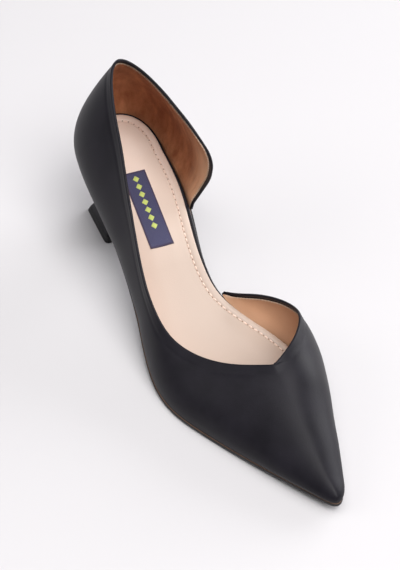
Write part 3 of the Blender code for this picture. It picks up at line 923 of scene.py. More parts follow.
def sock_leather():
    """Beige insole leather with a slight sheen, cloudy, with painted light: paler at the heel, darker
    towards the ball.
    """
    material, tree, shader, place = new_material("sock_leather", 0.42, specular=0.4, coat=0.06)
    clouds = noise(tree, place, 38.0, 4.0)
    pores = noise(tree, place, 1900.0, 3.0)
    grain = pebbles(tree, place, 1300.0)
    base = blend(tree, between(tree, clouds, 0.0, 1.0), (0.88, 0.71, 0.60), (0.92, 0.77, 0.67))
    # Painted light: the heel is made paler and the ball darker, to make up for the shade that the heel cup's
    # walls cast
    along = node(tree, "ShaderNodeSeparateXYZ", {"Vector": place}).outputs["X"]
    colour = blend(tree, between(tree, along, 0.0, 1.0, -0.105, -0.03), base, (0.57, 0.46, 0.385))
    gloss = between(tree, sum_of(tree, (clouds, 0.6), (pores, 0.4)), 0.36, 0.50)
    finish(tree, shader, colour, gloss, sum_of(tree, (grain, 0.5), (pores, 0.6)), 0.00005)
    return material


def thread(name, low, high):
    """Twisted sewing thread in two near tones."""
    material, tree, shader, place = new_material(name, 0.6, sheen=0.2)
    twist = wave(tree, place, "DIAGONAL", 1.5)
    fuzz = noise(tree, place, 2500.0, 2.0)
    finish(tree, shader, blend(tree, twist, low, high), between(tree, fuzz, 0.5, 0.7), twist, 0.00008)
    return material


def rubber(name, low, high, roughness):
    """Moulded rubber with a faint grain and dull patches."""
    material, tree, shader, place = new_material(name, roughness[0])
    clouds = noise(tree, place, 70.0, 4.0)
    grain = noise(tree, place, 900.0, 4.0)
    finish(tree, shader, blend(tree, clouds, low, high), between(tree, clouds, *roughness), grain, 0.00008)
    return material


def woven(name, low, high, border):
    """Fine plain weave: crossed bands along and across, in two tones, with a darker border."""
    material, tree, shader, place = new_material(name, 0.6, sheen=0.25)
    bands = {0: wave(tree, place, "X"), 1: wave(tree, place, "Y")}
    crossed = node(tree, "ShaderNodeMath", bands, operation="MULTIPLY").outputs[0]
    clouds = noise(tree, place, 120.0, 3.0)
    cloth = blend(tree, sum_of(tree, (crossed, 0.6), (clouds, 0.4)), low, high)
    colour = blend(tree, attribute(tree, "border"), cloth, border)
    finish(tree, shader, colour, between(tree, clouds, 0.55, 0.7), crossed, 0.00012)
    return material


# The upper: black leather, folded at the top line


def upper_surface():
    """Outer surface of the upper as one welded surface, with the point numbers of its three walls."""
    walls = {"quarter": outer_quarter(), "vamp": inner_vamp(), "counter": inner_counter()}
    for name in ("quarter", "vamp"):
        stations, grid = walls[name]
        walls[name] = stations, eased(stations, grid)
    points, _, numbers = weld_grids([grid for _, grid in walls.values()])
    number = dict(zip(walls, numbers))
    quads = np.vstack([grid_quads(number[name], name != "quarter") for name in walls])
    normals = vertex_normals(points, quads)
    normals[:, 2] *= smooth((points[:, 2] - seam(points[:, 0]))/FOOT_UPRIGHT)
    return {
        "points": points,
        "normals": unit(normals),
        "quads": quads,
        "number": number,
        "stations": {name: x for name, (x, _) in walls.items()},
        "rim": rim_path(number),
    }


def front_facing():
    """Width of the turned-in facing along the wing's front edge, from the sole up."""
    return FACING_LOW + (FACING_FRONT - FACING_LOW)*smooth(crowded(ROWS)/FACING_FRONT_SHARE)


def rim_path(number):
    """Point numbers along the top line, from the vamp's end by throat and collar to the wing's foot."""
    throat = FAN_STEPS + QUARTER_STEPS - 2
    path = np.concatenate([
        number["vamp"][0, :-1],
        number["vamp"][:INNER_VAMP_STEPS, -1],
        number["quarter"][:throat + 1, -1][::-1],
        number["counter"][:, -1],
        number["counter"][-1, ::-1],
    ])
    return path[np.append(True, np.diff(path) != 0)]


def edge_directions(points, normals, starts, ends):
    """At each edge point, the direction in the surface that leads out over the edge, longer at corners."""
    run = points[ends] - points[starts]
    out = unit(np.cross(run, normals[starts] + normals[ends]))
    middle = unit(sums_at(np.concatenate([starts, ends]), np.concatenate([out, out]), len(points)))
    lean_share = np.ones(len(points))
    lean_share[starts] = np.maximum((middle[starts]*out).sum(1), LEAST_MITRE)
    return middle/lean_share[:, None]


def upper_leather(surface, material):
    """Leather wall: outer surface with its creases, a round fold at the top line, and the inside."""
    points, normals, quads = surface["points"], surface["normals"], surface["quads"]
    count = len(points)
    from_rim = surface["from_rim"]
    swollen = EDGE_SWELL*bump(from_rim/EDGE_SWELL_WIDE)
    band = BAND_DEEP*bump((from_rim - BAND_AT)/BAND_WIDE)
    outer = points + normals*(swollen - band - relief_of(CREASES, points))[:, None]
    groove = INSIDE_SEAM_DEEP*bump((from_rim - INSIDE_SEAM_AT)/INSIDE_SEAM_WIDE)
    inner = points - normals*(LEATHER + swollen - groove)[:, None]
    foot = np.abs(points[:, 2] - seam(points[:, 0])) < FOOT_NEAR
    inner[foot, 2] = seam(inner[foot, 0])
    starts, ends = boundary(quads, count)
    away = edge_directions(points, normals, starts, ends)
    half = 0.5*LEATHER + swollen
    reach = np.where(foot, FOOT_EDGE, half)
    turns = np.linspace(0, np.pi, EDGE_STEPS + 1)[1:-1]
    slot = np.full(count, -1)
    edge = np.unique(np.concatenate([starts, ends]))
    slot[edge] = np.arange(len(edge))
    strip = (points - 0.5*LEATHER*normals)[edge][None] \
        + normals[edge][None]*(half[edge][None]*np.cos(turns)[:, None])[..., None] \
        + away[edge][None]*(reach[edge][None]*np.sin(turns)[:, None])[..., None]
    layers = [lambda k: k]
    layers += [lambda k, m=m: 2*count + m*len(edge) + slot[k] for m in range(len(turns))]
    layers += [lambda k: k + count]
    fold = [np.stack([low(ends), low(starts), high(starts), high(ends)], 1)
            for low, high in zip(layers[:-1], layers[1:])]
    every = np.vstack([outer, inner, strip.reshape(-1, 3)])
    return add_piece("upper_leather", every, np.vstack([quads, quads[:, ::-1] + count, *fold]), material,
                     replaces="upper")


# The linings: a suede counter lining and a smooth vamp lining, cut a little below the top line


def trimmed(grid, cut):
    """A grid whose columns end short of their last row by the cut, measured along them."""
    step = np.linalg.norm(np.diff(grid[..., :3], axis=1), axis=2)
    along = np.concatenate([np.zeros((len(grid), 1)), np.cumsum(step, axis=1)], axis=1)
    total = np.maximum(along[:, -1:], 1e-6)
    goal = along*np.maximum(1 - np.reshape(cut, (-1, 1))/total, LEAST_LINING_SHARE)
    low = np.clip((along[:, None, :] <= goal[:, :, None] + 1e-9).sum(2) - 1, 0, grid.shape[1] - 2)
    begin = np.take_along_axis(along, low, axis=1)
    share = (goal - begin)/np.maximum(np.take_along_axis(along, low + 1, axis=1) - begin, 1e-9)
    before = np.take_along_axis(grid, low[..., None], axis=1)
    after = np.take_along_axis(grid, low[..., None] + 1, axis=1)
    return before + (after - before)*share[..., None]


def throat_cut(stations):
    """The facing's width along a wall, ending in an arc round the throat's point."""
    ahead = np.maximum(stations - THROAT, 0)
    return np.sqrt(np.maximum(FACING_WIDE**2 - ahead**2, 0))


def wall_grid(surface, name):
    """A wall's points and normals, side by side."""
    number = surface["number"][name]
    return np.concatenate([surface["points"][number], surface["normals"][number]], axis=2)


def lining_sheet(name, grids, flips, front, material, creases=None, painted_highlight=None):
    """A closed sheet behind the walls: its front and back are the walls moved in, joined round the edge."""
    flat, place, number = weld_grids(grids)
    normals = np.zeros_like(flat)
    normals[place] = np.vstack([grid[..., 3:].reshape(-1, 3) for grid in grids])
    normals = unit(normals)
    quads = np.vstack([grid_quads(n, flip) for n, flip in zip(number, flips)])
    count = len(flat)
    starts, ends = boundary(quads, count)
    shown = flat - normals*front
    foot = np.abs(flat[:, 2] - seam(flat[:, 0])) < LINING_FOOT
    if creases:
        shown += normals*relief_of(creases, shown)[:, None]
    back = flat - normals*LINING_BACK
    rim = np.vstack([flat[starts], flat[ends]])
    rim = rim[rim[:, 2] - seam(rim[:, 0]) > CUT_PALE_LOWEST]
    cut = bump(distance_to(flat, rim)/CUT_PALE_WIDE)*~foot
    values = {"cut": np.concatenate([cut, cut])}
    # The painted highlight's share at each point, carried on the mesh
    if painted_highlight is not None:
        values["painted_highlight"] = np.tile(painted_highlight(flat), 2)
    faces = sheet_quads(quads, count)[:, ::-1]
    return add_piece(name, np.vstack([shown, back]), faces, material, values=values)


def sewn_edge(edge, inside, front):
    """The stitches' path just inside a lining's cut edge, the way out of the lining and the way over it."""
    over = unit(edge[:, :3] - inside[:, :3])
    out = -unit(edge[:, 3:])
    tall = edge[:, 2] - seam(edge[:, 0]) > STITCH_LOWEST
    path = edge[:, :3] + out*(front - STITCH_SINK) - over*STITCH_INSIDE
    return path[tall], out[tall], over[tall]


def linings(surface, suede, smooth_leather):
    """The suede round the heel and the smooth lining of vamp and front quarter; returns their sewn edges."""
    quarter = wall_grid(surface, "quarter")
    stations = surface["stations"]["quarter"]
    quarter = trimmed(quarter, throat_cut(stations))
    split = int(np.searchsorted(stations, LINING_SEAM))
    counter = wall_grid(surface, "counter")
    from_back = np.linspace(0, 1, len(counter))
    wider = smooth(from_back/FACING_COLLAR_SHARE)
    counter = trimmed(counter, FACING_WIDE + (FACING_COLLAR - FACING_WIDE)*wider)
    around = np.concatenate([quarter[split:0:-1], counter], axis=0)
    around = trimmed(around.transpose(1, 0, 2), front_facing()).transpose(1, 0, 2)

    # Painted highlight: the inner wing's suede grows paler towards its front and low down, where light from
    # the front falls
    def painted_highlight(points):
        ahead = smooth((points[:, 0] - PAINTED_HIGHLIGHT_START)/PAINTED_HIGHLIGHT_LONG)
        return PAINTED_HIGHLIGHT_SHARE*ahead*(points[:, 1] > 0)*smooth((PAINTED_HIGHLIGHT_TOP - points[:, 2])/PAINTED_HIGHLIGHT_HIGH)

    lining_sheet("counter_lining", [around], [True], SUEDE_FRONT, suede, WING_CREASES, painted_highlight)
    vamp = trimmed(wall_grid(surface, "vamp"), throat_cut(surface["stations"]["vamp"]))
    lining_sheet("vamp_lining", [quarter[split:], vamp], [False, True], SMOOTH_FRONT, smooth_leather)
    outer_top = quarter[split:][stations[split:] <= THROAT]
    inner_top = vamp[:INNER_VAMP_STEPS]
    return [
        sewn_edge(around[:, -1], around[:, -2], SUEDE_FRONT),
        sewn_edge(around[-1], around[-2], SUEDE_FRONT),
        sewn_edge(outer_top[:, -1], outer_top[:, -2], SMOOTH_FRONT),
        sewn_edge(inner_top[:, -1], inner_top[:, -2], SMOOTH_FRONT),
    ]


# Stitches


def stitches(name, middle, along, up, size, material):
    """Short threads: ellipsoids along the path whose ends dip into the leather."""
    long, thick, dip = size
    v = np.linspace(-1, 1, THREAD_STEPS)
    turn = np.linspace(0, 2*np.pi, THREAD_STEPS)
    across = np.cross(up, along)
    round_off = np.sqrt(np.maximum(1 - v**4, 0))
    c, d, n, b = (p[:, None, None, :] for p in (middle, along, up, across))
    v3, r3 = v[None, :, None, None], round_off[None, :, None, None]
    turn3 = turn[None, None, :, None]
    points = c + d*(0.5*long*v3) - n*(dip*v3**2) + (n*np.cos(turn3) + b*np.sin(turn3))*(0.5*thick*r3)
    count = len(middle)
    number = np.arange(count*v.size*turn.size).reshape(count, v.size, turn.size)
    number[:, :, -1] = number[:, :, 0]
    return add_piece(name, points.reshape(-1, 3), grid_quads(number, True), material)


def lining_stitches(edges, material):
    """Fine stitches over the linings' cut edges, all round the opening."""
    lines = [even_path(path, STITCH_PITCH, out, over) for path, out, over in edges]
    middle, _, up, over = (np.vstack(parts) for parts in zip(*lines))
    stitches("lining_stitches", middle, unit(over), unit(up), LINING_STITCH, material)


# The insole


def plan_sides(x, out):
    """Plan of both sides of a sole layer, which stand out from the feather line by out(side, x)."""
    sides = []
    for side in (LATERAL, MEDIAL):
        points, away = feather_points(side, x)
        sides.append((points + away*out(side, x)[:, None])[:, :2])
    return sides


def straight_end(start, end, count):
    """Points between two corners of a sole layer, without the corners."""
    return start + (end - start)*np.linspace(0, 1, count)[1:-1, None]


def spine_of(edge, x, sides, begin):
    """For each point of an edge, the point of the layer's middle line that its rings run in to."""
    spine_x = np.clip(edge[:, 0], begin, SPINE_END)
    return np.stack([spine_x, np.interp(spine_x, x, 0.5*(sides[0] + sides[1])[:, 1])], 1)


def footbed_loop(out):
    """Closed plan of an insole layer, from its toe end by the lateral side and the heel: edge and spine."""
    x = np.concatenate([heel_fan()[0], np.linspace(HEEL_WIDEST, INSOLE_TOE_END, FOOTBED_STEPS)[1:]])
    lateral, medial = plan_sides(x, out)
    edge = np.vstack([lateral[::-1], medial[1:], straight_end(medial[-1], lateral[-1], FOOTBED_END_STEPS)])
    return edge, spine_of(edge, x, (lateral, medial), HEEL_WIDEST)


def layer(edge, spine, rings, unit_inset=1.0):
    """Rings from an edge to its spine: each goes in by an inset, then by a share of the way that is left."""
    way = spine - edge
    far = np.linalg.norm(way, axis=1, keepdims=True)
    table = columns(rings)
    inset_mm = table["inset"][:, None, None]*np.reshape(unit_inset, (1, -1, 1))
    reach = table["reach"][:, None, None]
    gone = np.minimum(inset_mm, far[None]) + reach*np.maximum(far[None] - inset_mm, 0)
    plan = edge[None] + unit(way)[None]*gone
    return plan, gone[..., 0], table["height"][:, None]


def closed_quads(rings, around, flip=False):
    """Quads over rings of equal count that close on themselves."""
    number = np.arange(rings*around).reshape(rings, around)
    return grid_quads(np.concatenate([number, number[:, :1]], axis=1), flip)


def ring_piece(name, plan, z, material, replaces=None, flip=False):
    """A piece made of closed rings, from their plan and heights."""
    points = np.dstack([plan, z])
    quads = closed_quads(*points.shape[:2], flip)
    return add_piece(name, points.reshape(-1, 3), quads, material, replaces)


BOARD_RINGS = (
    ("inset", "reach", "height", "lip"),
    (1.0, 1.0, 1.0, 0.0),
    (1.0, 0.5, 1.0, 0.0),
    (1.0, 0.05, 1.0, 0.0),
    (0.98, 0.0, 1.0, 0.0),
    (0.92, 0.0, 1.0, 0.85),
    (0.78, 0.0, 1.0, 1.0),
    (0.55, 0.0, 1.0, 1.0),
    (0.32, 0.0, 0.98, 0.95),
    (0.14, 0.0, 0.92, 0.75),
    (0.04, 0.0, 0.82, 0.4),
    (0.0, 0.0, 0.66, 0.1),
    (0.0, 0.0, 0.4, 0.0),
    (0.05, 0.0, 0.2, 0.0),
    (0.2, 0.0, 0.06, 0.0),
    (0.45, 0.0, 0.0, 0.0),
    (0.45, 1.0, 0.0, 0.0),
)
SOCK_RINGS = (
    ("inset", "reach", "height"),
    *((SOCK_SEAM + 2.2, round(share, 3), 1.0) for share in np.linspace(1, 0.06, 15)),
    *((at, 0.0, 1.0) for at in (6.6, 6.0, 5.5, 5.1, 4.8, 4.6, 4.4, 4.1, 3.7, 3.2, 2.6, 2.0, 1.4, 0.9)),
    (0.55, 0.0, 0.97),
    (0.28, 0.0, 0.86),
    (0.09, 0.0, 0.68),
    (0.0, 0.0, 0.45),
    (0.05, 0.0, 0.2),
    (0.25, 0.0, 0.0),
    (2.0, 0.0, 0.0),
    (2.0, 1.0, 0.0),
)


def insole_board(material):
    """The footbed's core: a board with a rounded edge, wrapped in glossy black; at the heel partly painted
    gap shade.
    """
    edge, spine = footbed_loop(lambda side, x: -inset[side_name[side]](x))
    x = edge[:, 0]
    shown = np.where(edge[:, 1] < spine[:, 1], wrap_and_gap_shade_shown["lateral"](x), wrap_and_gap_shade_shown["medial"](x))
    plan, _, height = layer(edge, spine, BOARD_RINGS, shown)
    # Raised black lip at the board's edge: the real black wrap, and round the heel also painted shade of the
    # gap between sock and lining
    lip = WRAP_AND_GAP_SHADE_LIP*smooth((shown - LIP_FROM)/LIP_OVER)*columns(BOARD_RINGS)["lip"][:, None]
    z = seam(plan[..., 0]) + BOARD_THICK*height + lip
    return ring_piece("insole_board_wrap", plan, z, material, "insole_board")


def sock_loop():
    """Edge and spine of the padded sock."""
    return footbed_loop(lambda side, x: -inset[side_name[side]](x) - wrap_and_gap_shade_shown[side_name[side]](x))


def sock_rise(gone):
    """Padding of the sock by the distance from its edge: a roll, the groove of its seam, and a crown."""
    roll = SOCK_ROLL_HIGH*bump((gone - SOCK_ROLL_AT)/SOCK_ROLL_WIDE)
    groove = SOCK_GROOVE_DEEP*bump((gone - SOCK_SEAM)/SOCK_GROOVE_WIDE)
    return roll - groove + SOCK_CROWN*smooth((gone - SOCK_SEAM)/SOCK_CROWN_LONG)


def sock_height(x, gone):
    """Height of the sock's top."""
    return seam(x) + BOARD_THICK + GAP + SOCK_THICK + sock_rise(gone)


def insole_sock(material):
    """Padded insole sock with a sewn groove along its edge."""
    edge, spine = sock_loop()
    plan, gone, height = layer(edge, spine, SOCK_RINGS)
    low = seam(plan[..., 0]) + BOARD_THICK + GAP
    z = low + (SOCK_THICK + sock_rise(gone)*(height >= 1))*height
    piece = ring_piece("insole_sock_pad", plan, z, material, "insole_sock")


def sock_seam_path():
    """The sewn line of the sock, and the way up there."""
    edge, spine = sock_loop()
    plan = edge + unit(spine - edge)*SOCK_SEAM
    x = plan[:, 0]
    slope = seam(x + 0.5) - seam(x - 0.5)
    up = unit(np.stack([-slope, 0*x, 0*x + 1], 1))
    return np.column_stack([plan, sock_height(x, np.full_like(x, SOCK_SEAM))]), up


def sock_stitches(material, hole):
    """Stitches lying in the sock's groove, with a dark mark of painted shade for a needle hole between each
    two.
    """
    path, up = sock_seam_path()
    middle, along, raised = even_path(path, SOCK_PITCH, up)
    raised = unit(raised)
    above = middle + SOCK_STITCH_RISE*raised
    stitches("sock_stitches", above, along, raised, SOCK_STITCH, material)
    # Painted shade: a dark flat mark stands for the shade inside each needle hole
    between_them = middle + along*0.5*SOCK_PITCH
    stitches("sock_needle_hole_shade_marks", between_them, along, raised, SOCK_HOLE_SHADE_MARK, hole)


# The label patch

LABEL_BACK = (33.5, -2.1)
LABEL_FRONT = (80.9, -3.0)
LABEL_HALF = 6.8
LABEL_THICK = 0.35
LABEL_CURL = 0.5
LABEL_CURL_SHARE = 0.07
LABEL_HEM_SHARE = 0.86
LABEL_HEM_HIGH = 0.1
LABEL_HEM_WIDE = 0.05
LABEL_HEM_FADE = 0.06
LABEL_END_SHARE = 0.03
LABEL_END_FADE = 0.02
LOZENGES = 7
LOZENGE_START = 0.1
LOZENGE_STEP = 0.105
LOZENGE_HALF_LONG = 2.1
LOZENGE_HALF_WIDE = 1.9
LOZENGE_THICK = 0.08
LOZENGE_DOME = 0.22


def label_place(share, aside):
    """Points on the patch's top from a share of its length and a distance from its middle line."""
    back, front = np.array(LABEL_BACK), np.array(LABEL_FRONT)
    run = front - back
    across = np.array([-run[1], run[0]])/np.linalg.norm(run)
    plan = back + share[..., None]*run + aside[..., None]*across
    edge, _ = sock_loop()
    gone = distance_to(plan.reshape(-1, 2), edge).reshape(share.shape)
    return np.dstack([plan, sock_height(plan[..., 0], gone)])


def slab(grid, thick):
    """A sheet of the given thickness hanging below a grid: points and quads, closed round its edge."""
    rows, cols = grid.shape[:2]
    number = np.arange(rows*cols).reshape(rows, cols)
    under = grid - np.array([0, 0, thick])
    points = np.vstack([grid.reshape(-1, 3), under.reshape(-1, 3)])
    return points, sheet_quads(grid_quads(number), rows*cols)


def label_patch(cloth):
    """A plain woven patch glued to the sock, hemmed, its front corners a little raised."""
    lines = (np.linspace(low, 1, count) for low, count in zip((0, -1), LABEL_STEPS))
    share, aside = np.meshgrid(*lines, indexing="ij")
    grid = label_place(share, aside*LABEL_HALF)
    curl = LABEL_CURL*smooth((share - (1 - LABEL_CURL_SHARE))/LABEL_CURL_SHARE)*aside**2
    past_hem = np.abs(aside) - LABEL_HEM_SHARE
    grid[..., 2] += LABEL_THICK + curl + LABEL_HEM_HIGH*bump(past_hem/LABEL_HEM_WIDE)
    ends = (LABEL_END_SHARE - np.minimum(share, 1 - share))/LABEL_END_FADE
    border = np.maximum(smooth(past_hem/LABEL_HEM_FADE), smooth(ends))
    points, quads = slab(grid, LABEL_THICK)
    return add_piece("label_patch", points, quads, cloth, sharp=SHARP_DEGREES,
                     values={"border": np.tile(border.ravel(), 2)})


def label_lozenges(yarn):
    """A row of plain lozenges in satin stitch on the patch: squares turned a half right angle and domed."""
    line = np.linspace(-1, 1, LOZENGE_STEPS)
    u, v = np.meshgrid(line, line, indexing="ij")
    points, quads, first = [], [], 0
    for k in range(LOZENGES):
        along = 0.5*(u - v)*LOZENGE_HALF_LONG/np.linalg.norm(np.subtract(LABEL_FRONT, LABEL_BACK))
        grid = label_place(LOZENGE_START + k*LOZENGE_STEP + along, 0.5*(u + v)*LOZENGE_HALF_WIDE)
        grid[..., 2] += LABEL_THICK + LOZENGE_THICK + LOZENGE_DOME*(1 - u**2)*(1 - v**2)
        made, faces = slab(grid, LOZENGE_THICK)
        points.append(made)
        quads.append(faces + first)
        first += len(made)
    return add_piece("label_lozenges", np.vstack(points), np.vstack(quads)[:, ::-1], yarn)


# Sole and heel

OUTSOLE_RINGS = (
    ("inset", "reach", "height"),
    (2.0, 1.0, 1.0),
    (2.0, 0.5, 1.0),
    (2.0, 0.0, 1.0),
    (0.5, 0.0, 1.0),
    (0.2, 0.0, 0.97),
    (0.05, 0.0, 0.90),
    (0.0, 0.0, 0.75),
    (0.0, 0.0, 0.45),
    (0.1, 0.0, 0.25),
    (0.35, 0.0, 0.1),
    (0.8, 0.0, 0.02),
    (1.6, 0.0, 0.0),
    *((1.6, round(share, 3), 0.0) for share in np.linspace(0.08, 1, 12)),
)


def sole_line_inset(side, x):
    """How far the lasting margin's edge lies inside the outsole's."""
    at_waist = bump((x - SOLE_LINE_WAIST_AT)/SOLE_LINE_WAIST_LONG)
    return SOLE_LINE_IN + SOLE_LINE_WAIST_IN*(side == MEDIAL)*at_waist


def outsole_loop(out):
    """Closed plan of an outsole layer, from the breast by the lateral side and the toe: edge and spine."""
    x = np.concatenate([np.linspace(BREAST + GAP, THROAT, OUTSOLE_STEPS), vamp_stations()])
    lateral, medial = plan_sides(x, out)
    edge = np.vstack([lateral, medial[-2::-1], straight_end(medial[0], lateral[0], OUTSOLE_END_STEPS)])
    return edge, spine_of(edge, x, (lateral, medial), OUTSOLE_SPINE_BEGIN)


def outsole(material):
    """Thin outsole, flat under the ball, its lower edge rounded."""
    edge, spine = outsole_loop(lambda side, x: outsole_edge[side_name[side]](x))
    plan, gone, height = layer(edge, spine, OUTSOLE_RINGS)
    top = seam(plan[..., 0]) - GAP
    lifted = OUTSOLE_EDGE_LIFT*smooth((OUTSOLE_EDGE_WIDE - gone)/OUTSOLE_EDGE_WIDE)
    bottom = np.maximum(top - OUTSOLE_THICK, 0) + lifted
    z = bottom + (top - bottom)*height
    return ring_piece("outsole_rubber", plan, z, material, "outsole", True)


SOLE_LINE_RINGS = (
    ("inset", "reach", "height"),
    (3.0, 0.0, 1.0),
    (0.1, 0.0, 1.0),
    (0.0, 0.0, 0.5),
    (0.1, 0.0, 0.0),
    (3.0, 0.0, 0.0),
    (3.0, 0.0, 1.0),
)


def sole_line(material):
    """The tan edge of the lasting margin, between upper and outsole."""
    edge, spine = outsole_loop(lambda side, x: outsole_edge[side_name[side]](x) - sole_line_inset(side, x))
    plan, _, height = layer(edge, spine, SOLE_LINE_RINGS)
    z = seam(plan[..., 0]) - GAP + (GAP + SOLE_LINE_OVER)*height
    return ring_piece("sole_line", plan, z, material, flip=True)


# Height above the cover's lower end, or the floor, and how far the section is drawn in there
COVER_END = ((0.0, 0.35), (0.12, 0.1), (0.4, 0.0))
LIFT_RINGS = ((0.0, 0.5), (0.1, 0.2), (0.35, 0.0), (2.0, 0.0), (3.5, 0.0), (3.8, 0.12), (3.95, 0.35))
# Sizes of the rings that close a stack
CAP_BELOW = (0.0, 0.5, 0.9)
CAP_ABOVE = (0.9, 0.6, 0.3, 0.0)


def square_ring():
    """Directions round a square, from its middle, closer together near the corners."""
    along = np.sin(np.linspace(-0.5, 0.5, HEEL_SIDE_STEPS + 1)[:-1]*np.pi)
    one = np.ones_like(along)
    return np.concatenate([np.stack(side, 1) for side in
                           ((along, -one), (one, along), (-along, one), (-one, -along))])


def rounded_square(back, front, lateral, medial, square_front, square_back, pivot):
    """A rounded square round the pivot: points of equal power norm, scaled to the four reaches."""
    way = square_ring()
    power = np.where(way[:, 0] > 0, square_front, square_back)
    size = (np.abs(way[:, 0])**power + np.abs(way[:, 1])**power)**(1/power)
    way = way/size[:, None]
    x = pivot + np.where(way[:, 0] > 0, way[:, 0]*(front - pivot), way[:, 0]*(pivot - back))
    y = np.where(way[:, 1] > 0, way[:, 1]*medial, -way[:, 1]*lateral)
    return np.stack([x, y], 1)


def seat_ring():
    """The heel's seat: the feather line of the heel, cut off straight at the breast."""
    pivot = HEEL_WIDEST
    back = HEEL_BACK + SEAT_INSET
    flat = rounded_square(back, BREAST, -1.0, 1.0, SEAT_FRONT_SQUARENESS, HEEL_ROUNDNESS, pivot)
    middle = plan_middle(pivot)
    reach = np.where(flat[:, 1] > 0, outline["medial"](flat[:, 0]) - SEAT_INSET - middle,
                     middle - outline["lateral"](flat[:, 0]) - SEAT_INSET)
    return np.stack([flat[:, 0], middle + flat[:, 1]*reach], 1)


def heel_section(z, shrink=0.0):
    """Square section of the heel's lower half at a height, drawn in by shrink."""
    named = columns(HEEL_SECTIONS)
    share = (z - LIFT_HIGH)/(HEEL_WAIST_HIGH - LIFT_HIGH)
    bent = LIFT_HIGH + (HEEL_WAIST_HIGH - LIFT_HIGH)*np.sign(share)*abs(share)**HEEL_FOOT_POWER
    back, front, lateral, medial, power = (np.interp(bent if share > 0 else z, named["z"], named[name])
                                           for name in ("back", "front", "lateral", "medial", "squareness"))
    flat = rounded_square(back + shrink, front - shrink, lateral + shrink, medial - shrink, power, power,
                          0.5*(back + front))
    return np.column_stack([flat, np.full(len(flat), z)])


def capped(rings, top_height=None):
    """Closes a stack of rings, lowest first, with rings that shrink to a middle point below and above."""
    below = [shrunk(rings[0], share) for share in CAP_BELOW]
    above = [shrunk(rings[-1], share, top_height) for share in CAP_ABOVE]
    points = np.stack(below + rings + above)
    return points.reshape(-1, 3), closed_quads(*points.shape[:2])


def shrunk(ring_points, share, height=None):
    """A ring drawn in to a share of its size about its middle, at its own height or one found from X."""
    middle = ring_points.mean(0)
    drawn = middle + (ring_points - middle)*share
    drawn[:, 2] = ring_points[:, 2].mean() if height is None else height(drawn[:, 0])
    return drawn


def heel(material):
    """Covered heel: a square foot that narrows to its waist and opens again to the whole seat."""
    low = LIFT_HIGH + COVER_ABOVE_LIFT
    rings = [heel_section(low + above, shrink) for above, shrink in COVER_END]
    rings += [heel_section(z) for z in np.linspace(low + COVER_SIDE_BEGIN, HEEL_WAIST_HIGH, HEEL_LOW_STEPS)]
    waist = rings[-1]
    seat = seat_ring()
    seat = np.column_stack([seat, seam(seat[:, 0]) - GAP])
    for share in np.linspace(0, 1, HEEL_FLARE_STEPS)[1:]:
        flat = waist[:, :2] + (seat[:, :2] - waist[:, :2])*share**HEEL_FLARE_POWER
        rings.append(np.column_stack([flat, waist[:, 2] + (seat[:, 2] - waist[:, 2])*share]))
    points, quads = capped(rings, lambda x: seam(x) - GAP)
    return add_piece("heel_cover", points, quads, material, "heel", SHARP_DEGREES)


def heel_lift(material):
    """Top piece under the heel with slightly rounded edges."""
    points, quads = capped([heel_section(z, shrink) for z, shrink in LIFT_RINGS])
    return add_piece("heel_lift_rubber", points, quads, material, "heel_lift", SHARP_DEGREES)


# Stage: floor, light and camera

CAMERA_AT = (640.5, -207.7, 607.0)
CAMERA_AIM = (116.0, 5.0, 34.0)
CAMERA_LENS = 95.0
FLOOR_HALF = 6.0
FLOOR_TONES = (0.675, 0.665, 0.675), (0.695, 0.685, 0.695)
ROOM_TONES = (0.08, 0.078, 0.085), (0.20, 0.195, 0.21)
ROOM_REACH = 0.7
# Name, place, aim, size, watts and colour of each light, in metres in the frame
LIGHTS = (
    ("key", (0.05, 0.05, 1.8), (-0.05, 0.0, 0.03), (1.7, 1.7), 19.0, (1.0, 0.985, 0.985)),
    ("front", (1.1, 0.2, 1.7), (-0.12, 0.0, 0.06), (1.2, 1.2), 29.0, (1.0, 0.985, 0.98)),
    ("left", (-0.45, -1.4, 1.05), (0.05, 0.0, 0.03), (1.3, 0.9), 5.0, (1.0, 0.985, 0.985)),
    ("right", (-0.4, 1.5, 0.55), (0.08, 0.02, 0.03), (1.4, 1.0), 20.0, (0.98, 0.98, 1.0)),
)


def floor():
    """A wide pale floor."""
    mesh = bpy.data.meshes.new("floor")
    corners = [(x*FLOOR_HALF, y*FLOOR_HALF, 0) for x, y in ((-1, -1), (1, -1), (1, 1), (-1, 1))]
    mesh.from_pydata(corners, [], [(0, 1, 2, 3)])
    material, tree, shader, place = new_material("floor_paper", 0.85)
    clouds = noise(tree, place, 1.5, 2.0)
    tree.links.new(blend(tree, clouds, *FLOOR_TONES), shader.inputs["Base Color"])
    mesh.materials.append(material)
    in_scene("floor", mesh)


def aimed(thing, at, aim):
    """Puts an object at a place and turns it to a point."""
    thing.location = at
    thing.rotation_euler = (Vector(aim) - Vector(at)).to_track_quat("-Z", "Y").to_euler()


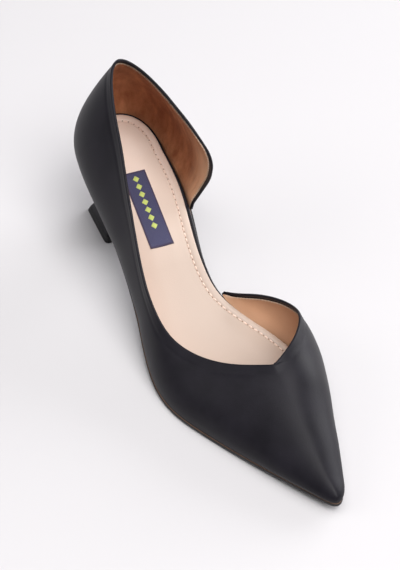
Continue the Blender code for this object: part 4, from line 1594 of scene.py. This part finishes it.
def light():
    """Soft studio light: a dim room, brighter to the right, and four panels, the broadest of them above."""
    world = bpy.data.worlds.new("studio")
    world.use_nodes = True
    tree = world.node_tree
    way = node(tree, "ShaderNodeTexCoord").outputs["Generated"]
    parts = node(tree, "ShaderNodeSeparateXYZ", {"Vector": way})
    rightward = between(tree, parts.outputs["Y"], 0.0, 1.0, -ROOM_REACH, ROOM_REACH)
    tree.links.new(blend(tree, rightward, *ROOM_TONES), tree.nodes["Background"].inputs["Color"])
    bpy.context.scene.world = world
    bpy.context.scene.view_settings.view_transform = "Standard"
    for name, at, aim, size, watts, colour in LIGHTS:
        lamp = bpy.data.lights.new(name, "AREA")
        lamp.shape = "RECTANGLE"
        lamp.size, lamp.size_y = size
        lamp.energy = watts
        lamp.color = colour
        aimed(in_scene(name, lamp), at, aim)


def camera():
    """The photo's viewpoint, aimed at the shoe."""
    data = bpy.data.cameras.new("camera")
    data.lens = CAMERA_LENS
    thing = in_scene("camera", data)
    aimed(thing, *(place_in_frame(np.array(p)) for p in (CAMERA_AT, CAMERA_AIM)))
    bpy.context.scene.camera = thing


def build():
    """Makes every piece of the shoe."""
    surface = upper_surface()
    points = surface["points"]
    dense = even_path(points[surface["rim"]], RIM_PITCH)[0]
    surface["from_rim"] = distance_to(points, dense)
    upper_leather(surface, black_leather("upper_black_leather"))
    sewn = linings(surface, counter_suede(), lining_leather())
    lining_stitches(sewn, thread("lining_thread", (0.62, 0.44, 0.31), (0.78, 0.60, 0.45)))
    insole_board(black_leather("board_black_wrap", (0.26, 0.36)))
    insole_sock(sock_leather())
    sock_stitches(thread("sock_thread", (0.92, 0.69, 0.56), (0.97, 0.80, 0.69)),
                  rubber("needle_hole_shade", (0.30, 0.17, 0.11), (0.40, 0.24, 0.16), (0.8, 0.9)))
    label_patch(woven("label_cloth", (0.038, 0.040, 0.105), (0.075, 0.078, 0.180), (0.040, 0.026, 0.072)))
    label_lozenges(thread("label_yarn", (0.46, 0.56, 0.10), (0.68, 0.78, 0.24)))
    outsole(rubber("outsole_black", (0.010, 0.010, 0.011), (0.018, 0.017, 0.018), (0.5, 0.62)))
    sole_line(rubber("sole_line_tan", (0.11, 0.060, 0.035), (0.18, 0.10, 0.06), (0.6, 0.75)))
    heel(black_leather("heel_black_leather", (0.36, 0.46)))
    heel_lift(rubber("lift_black", (0.008, 0.008, 0.009), (0.015, 0.014, 0.015), (0.55, 0.7)))


build()
floor()
light()
camera()
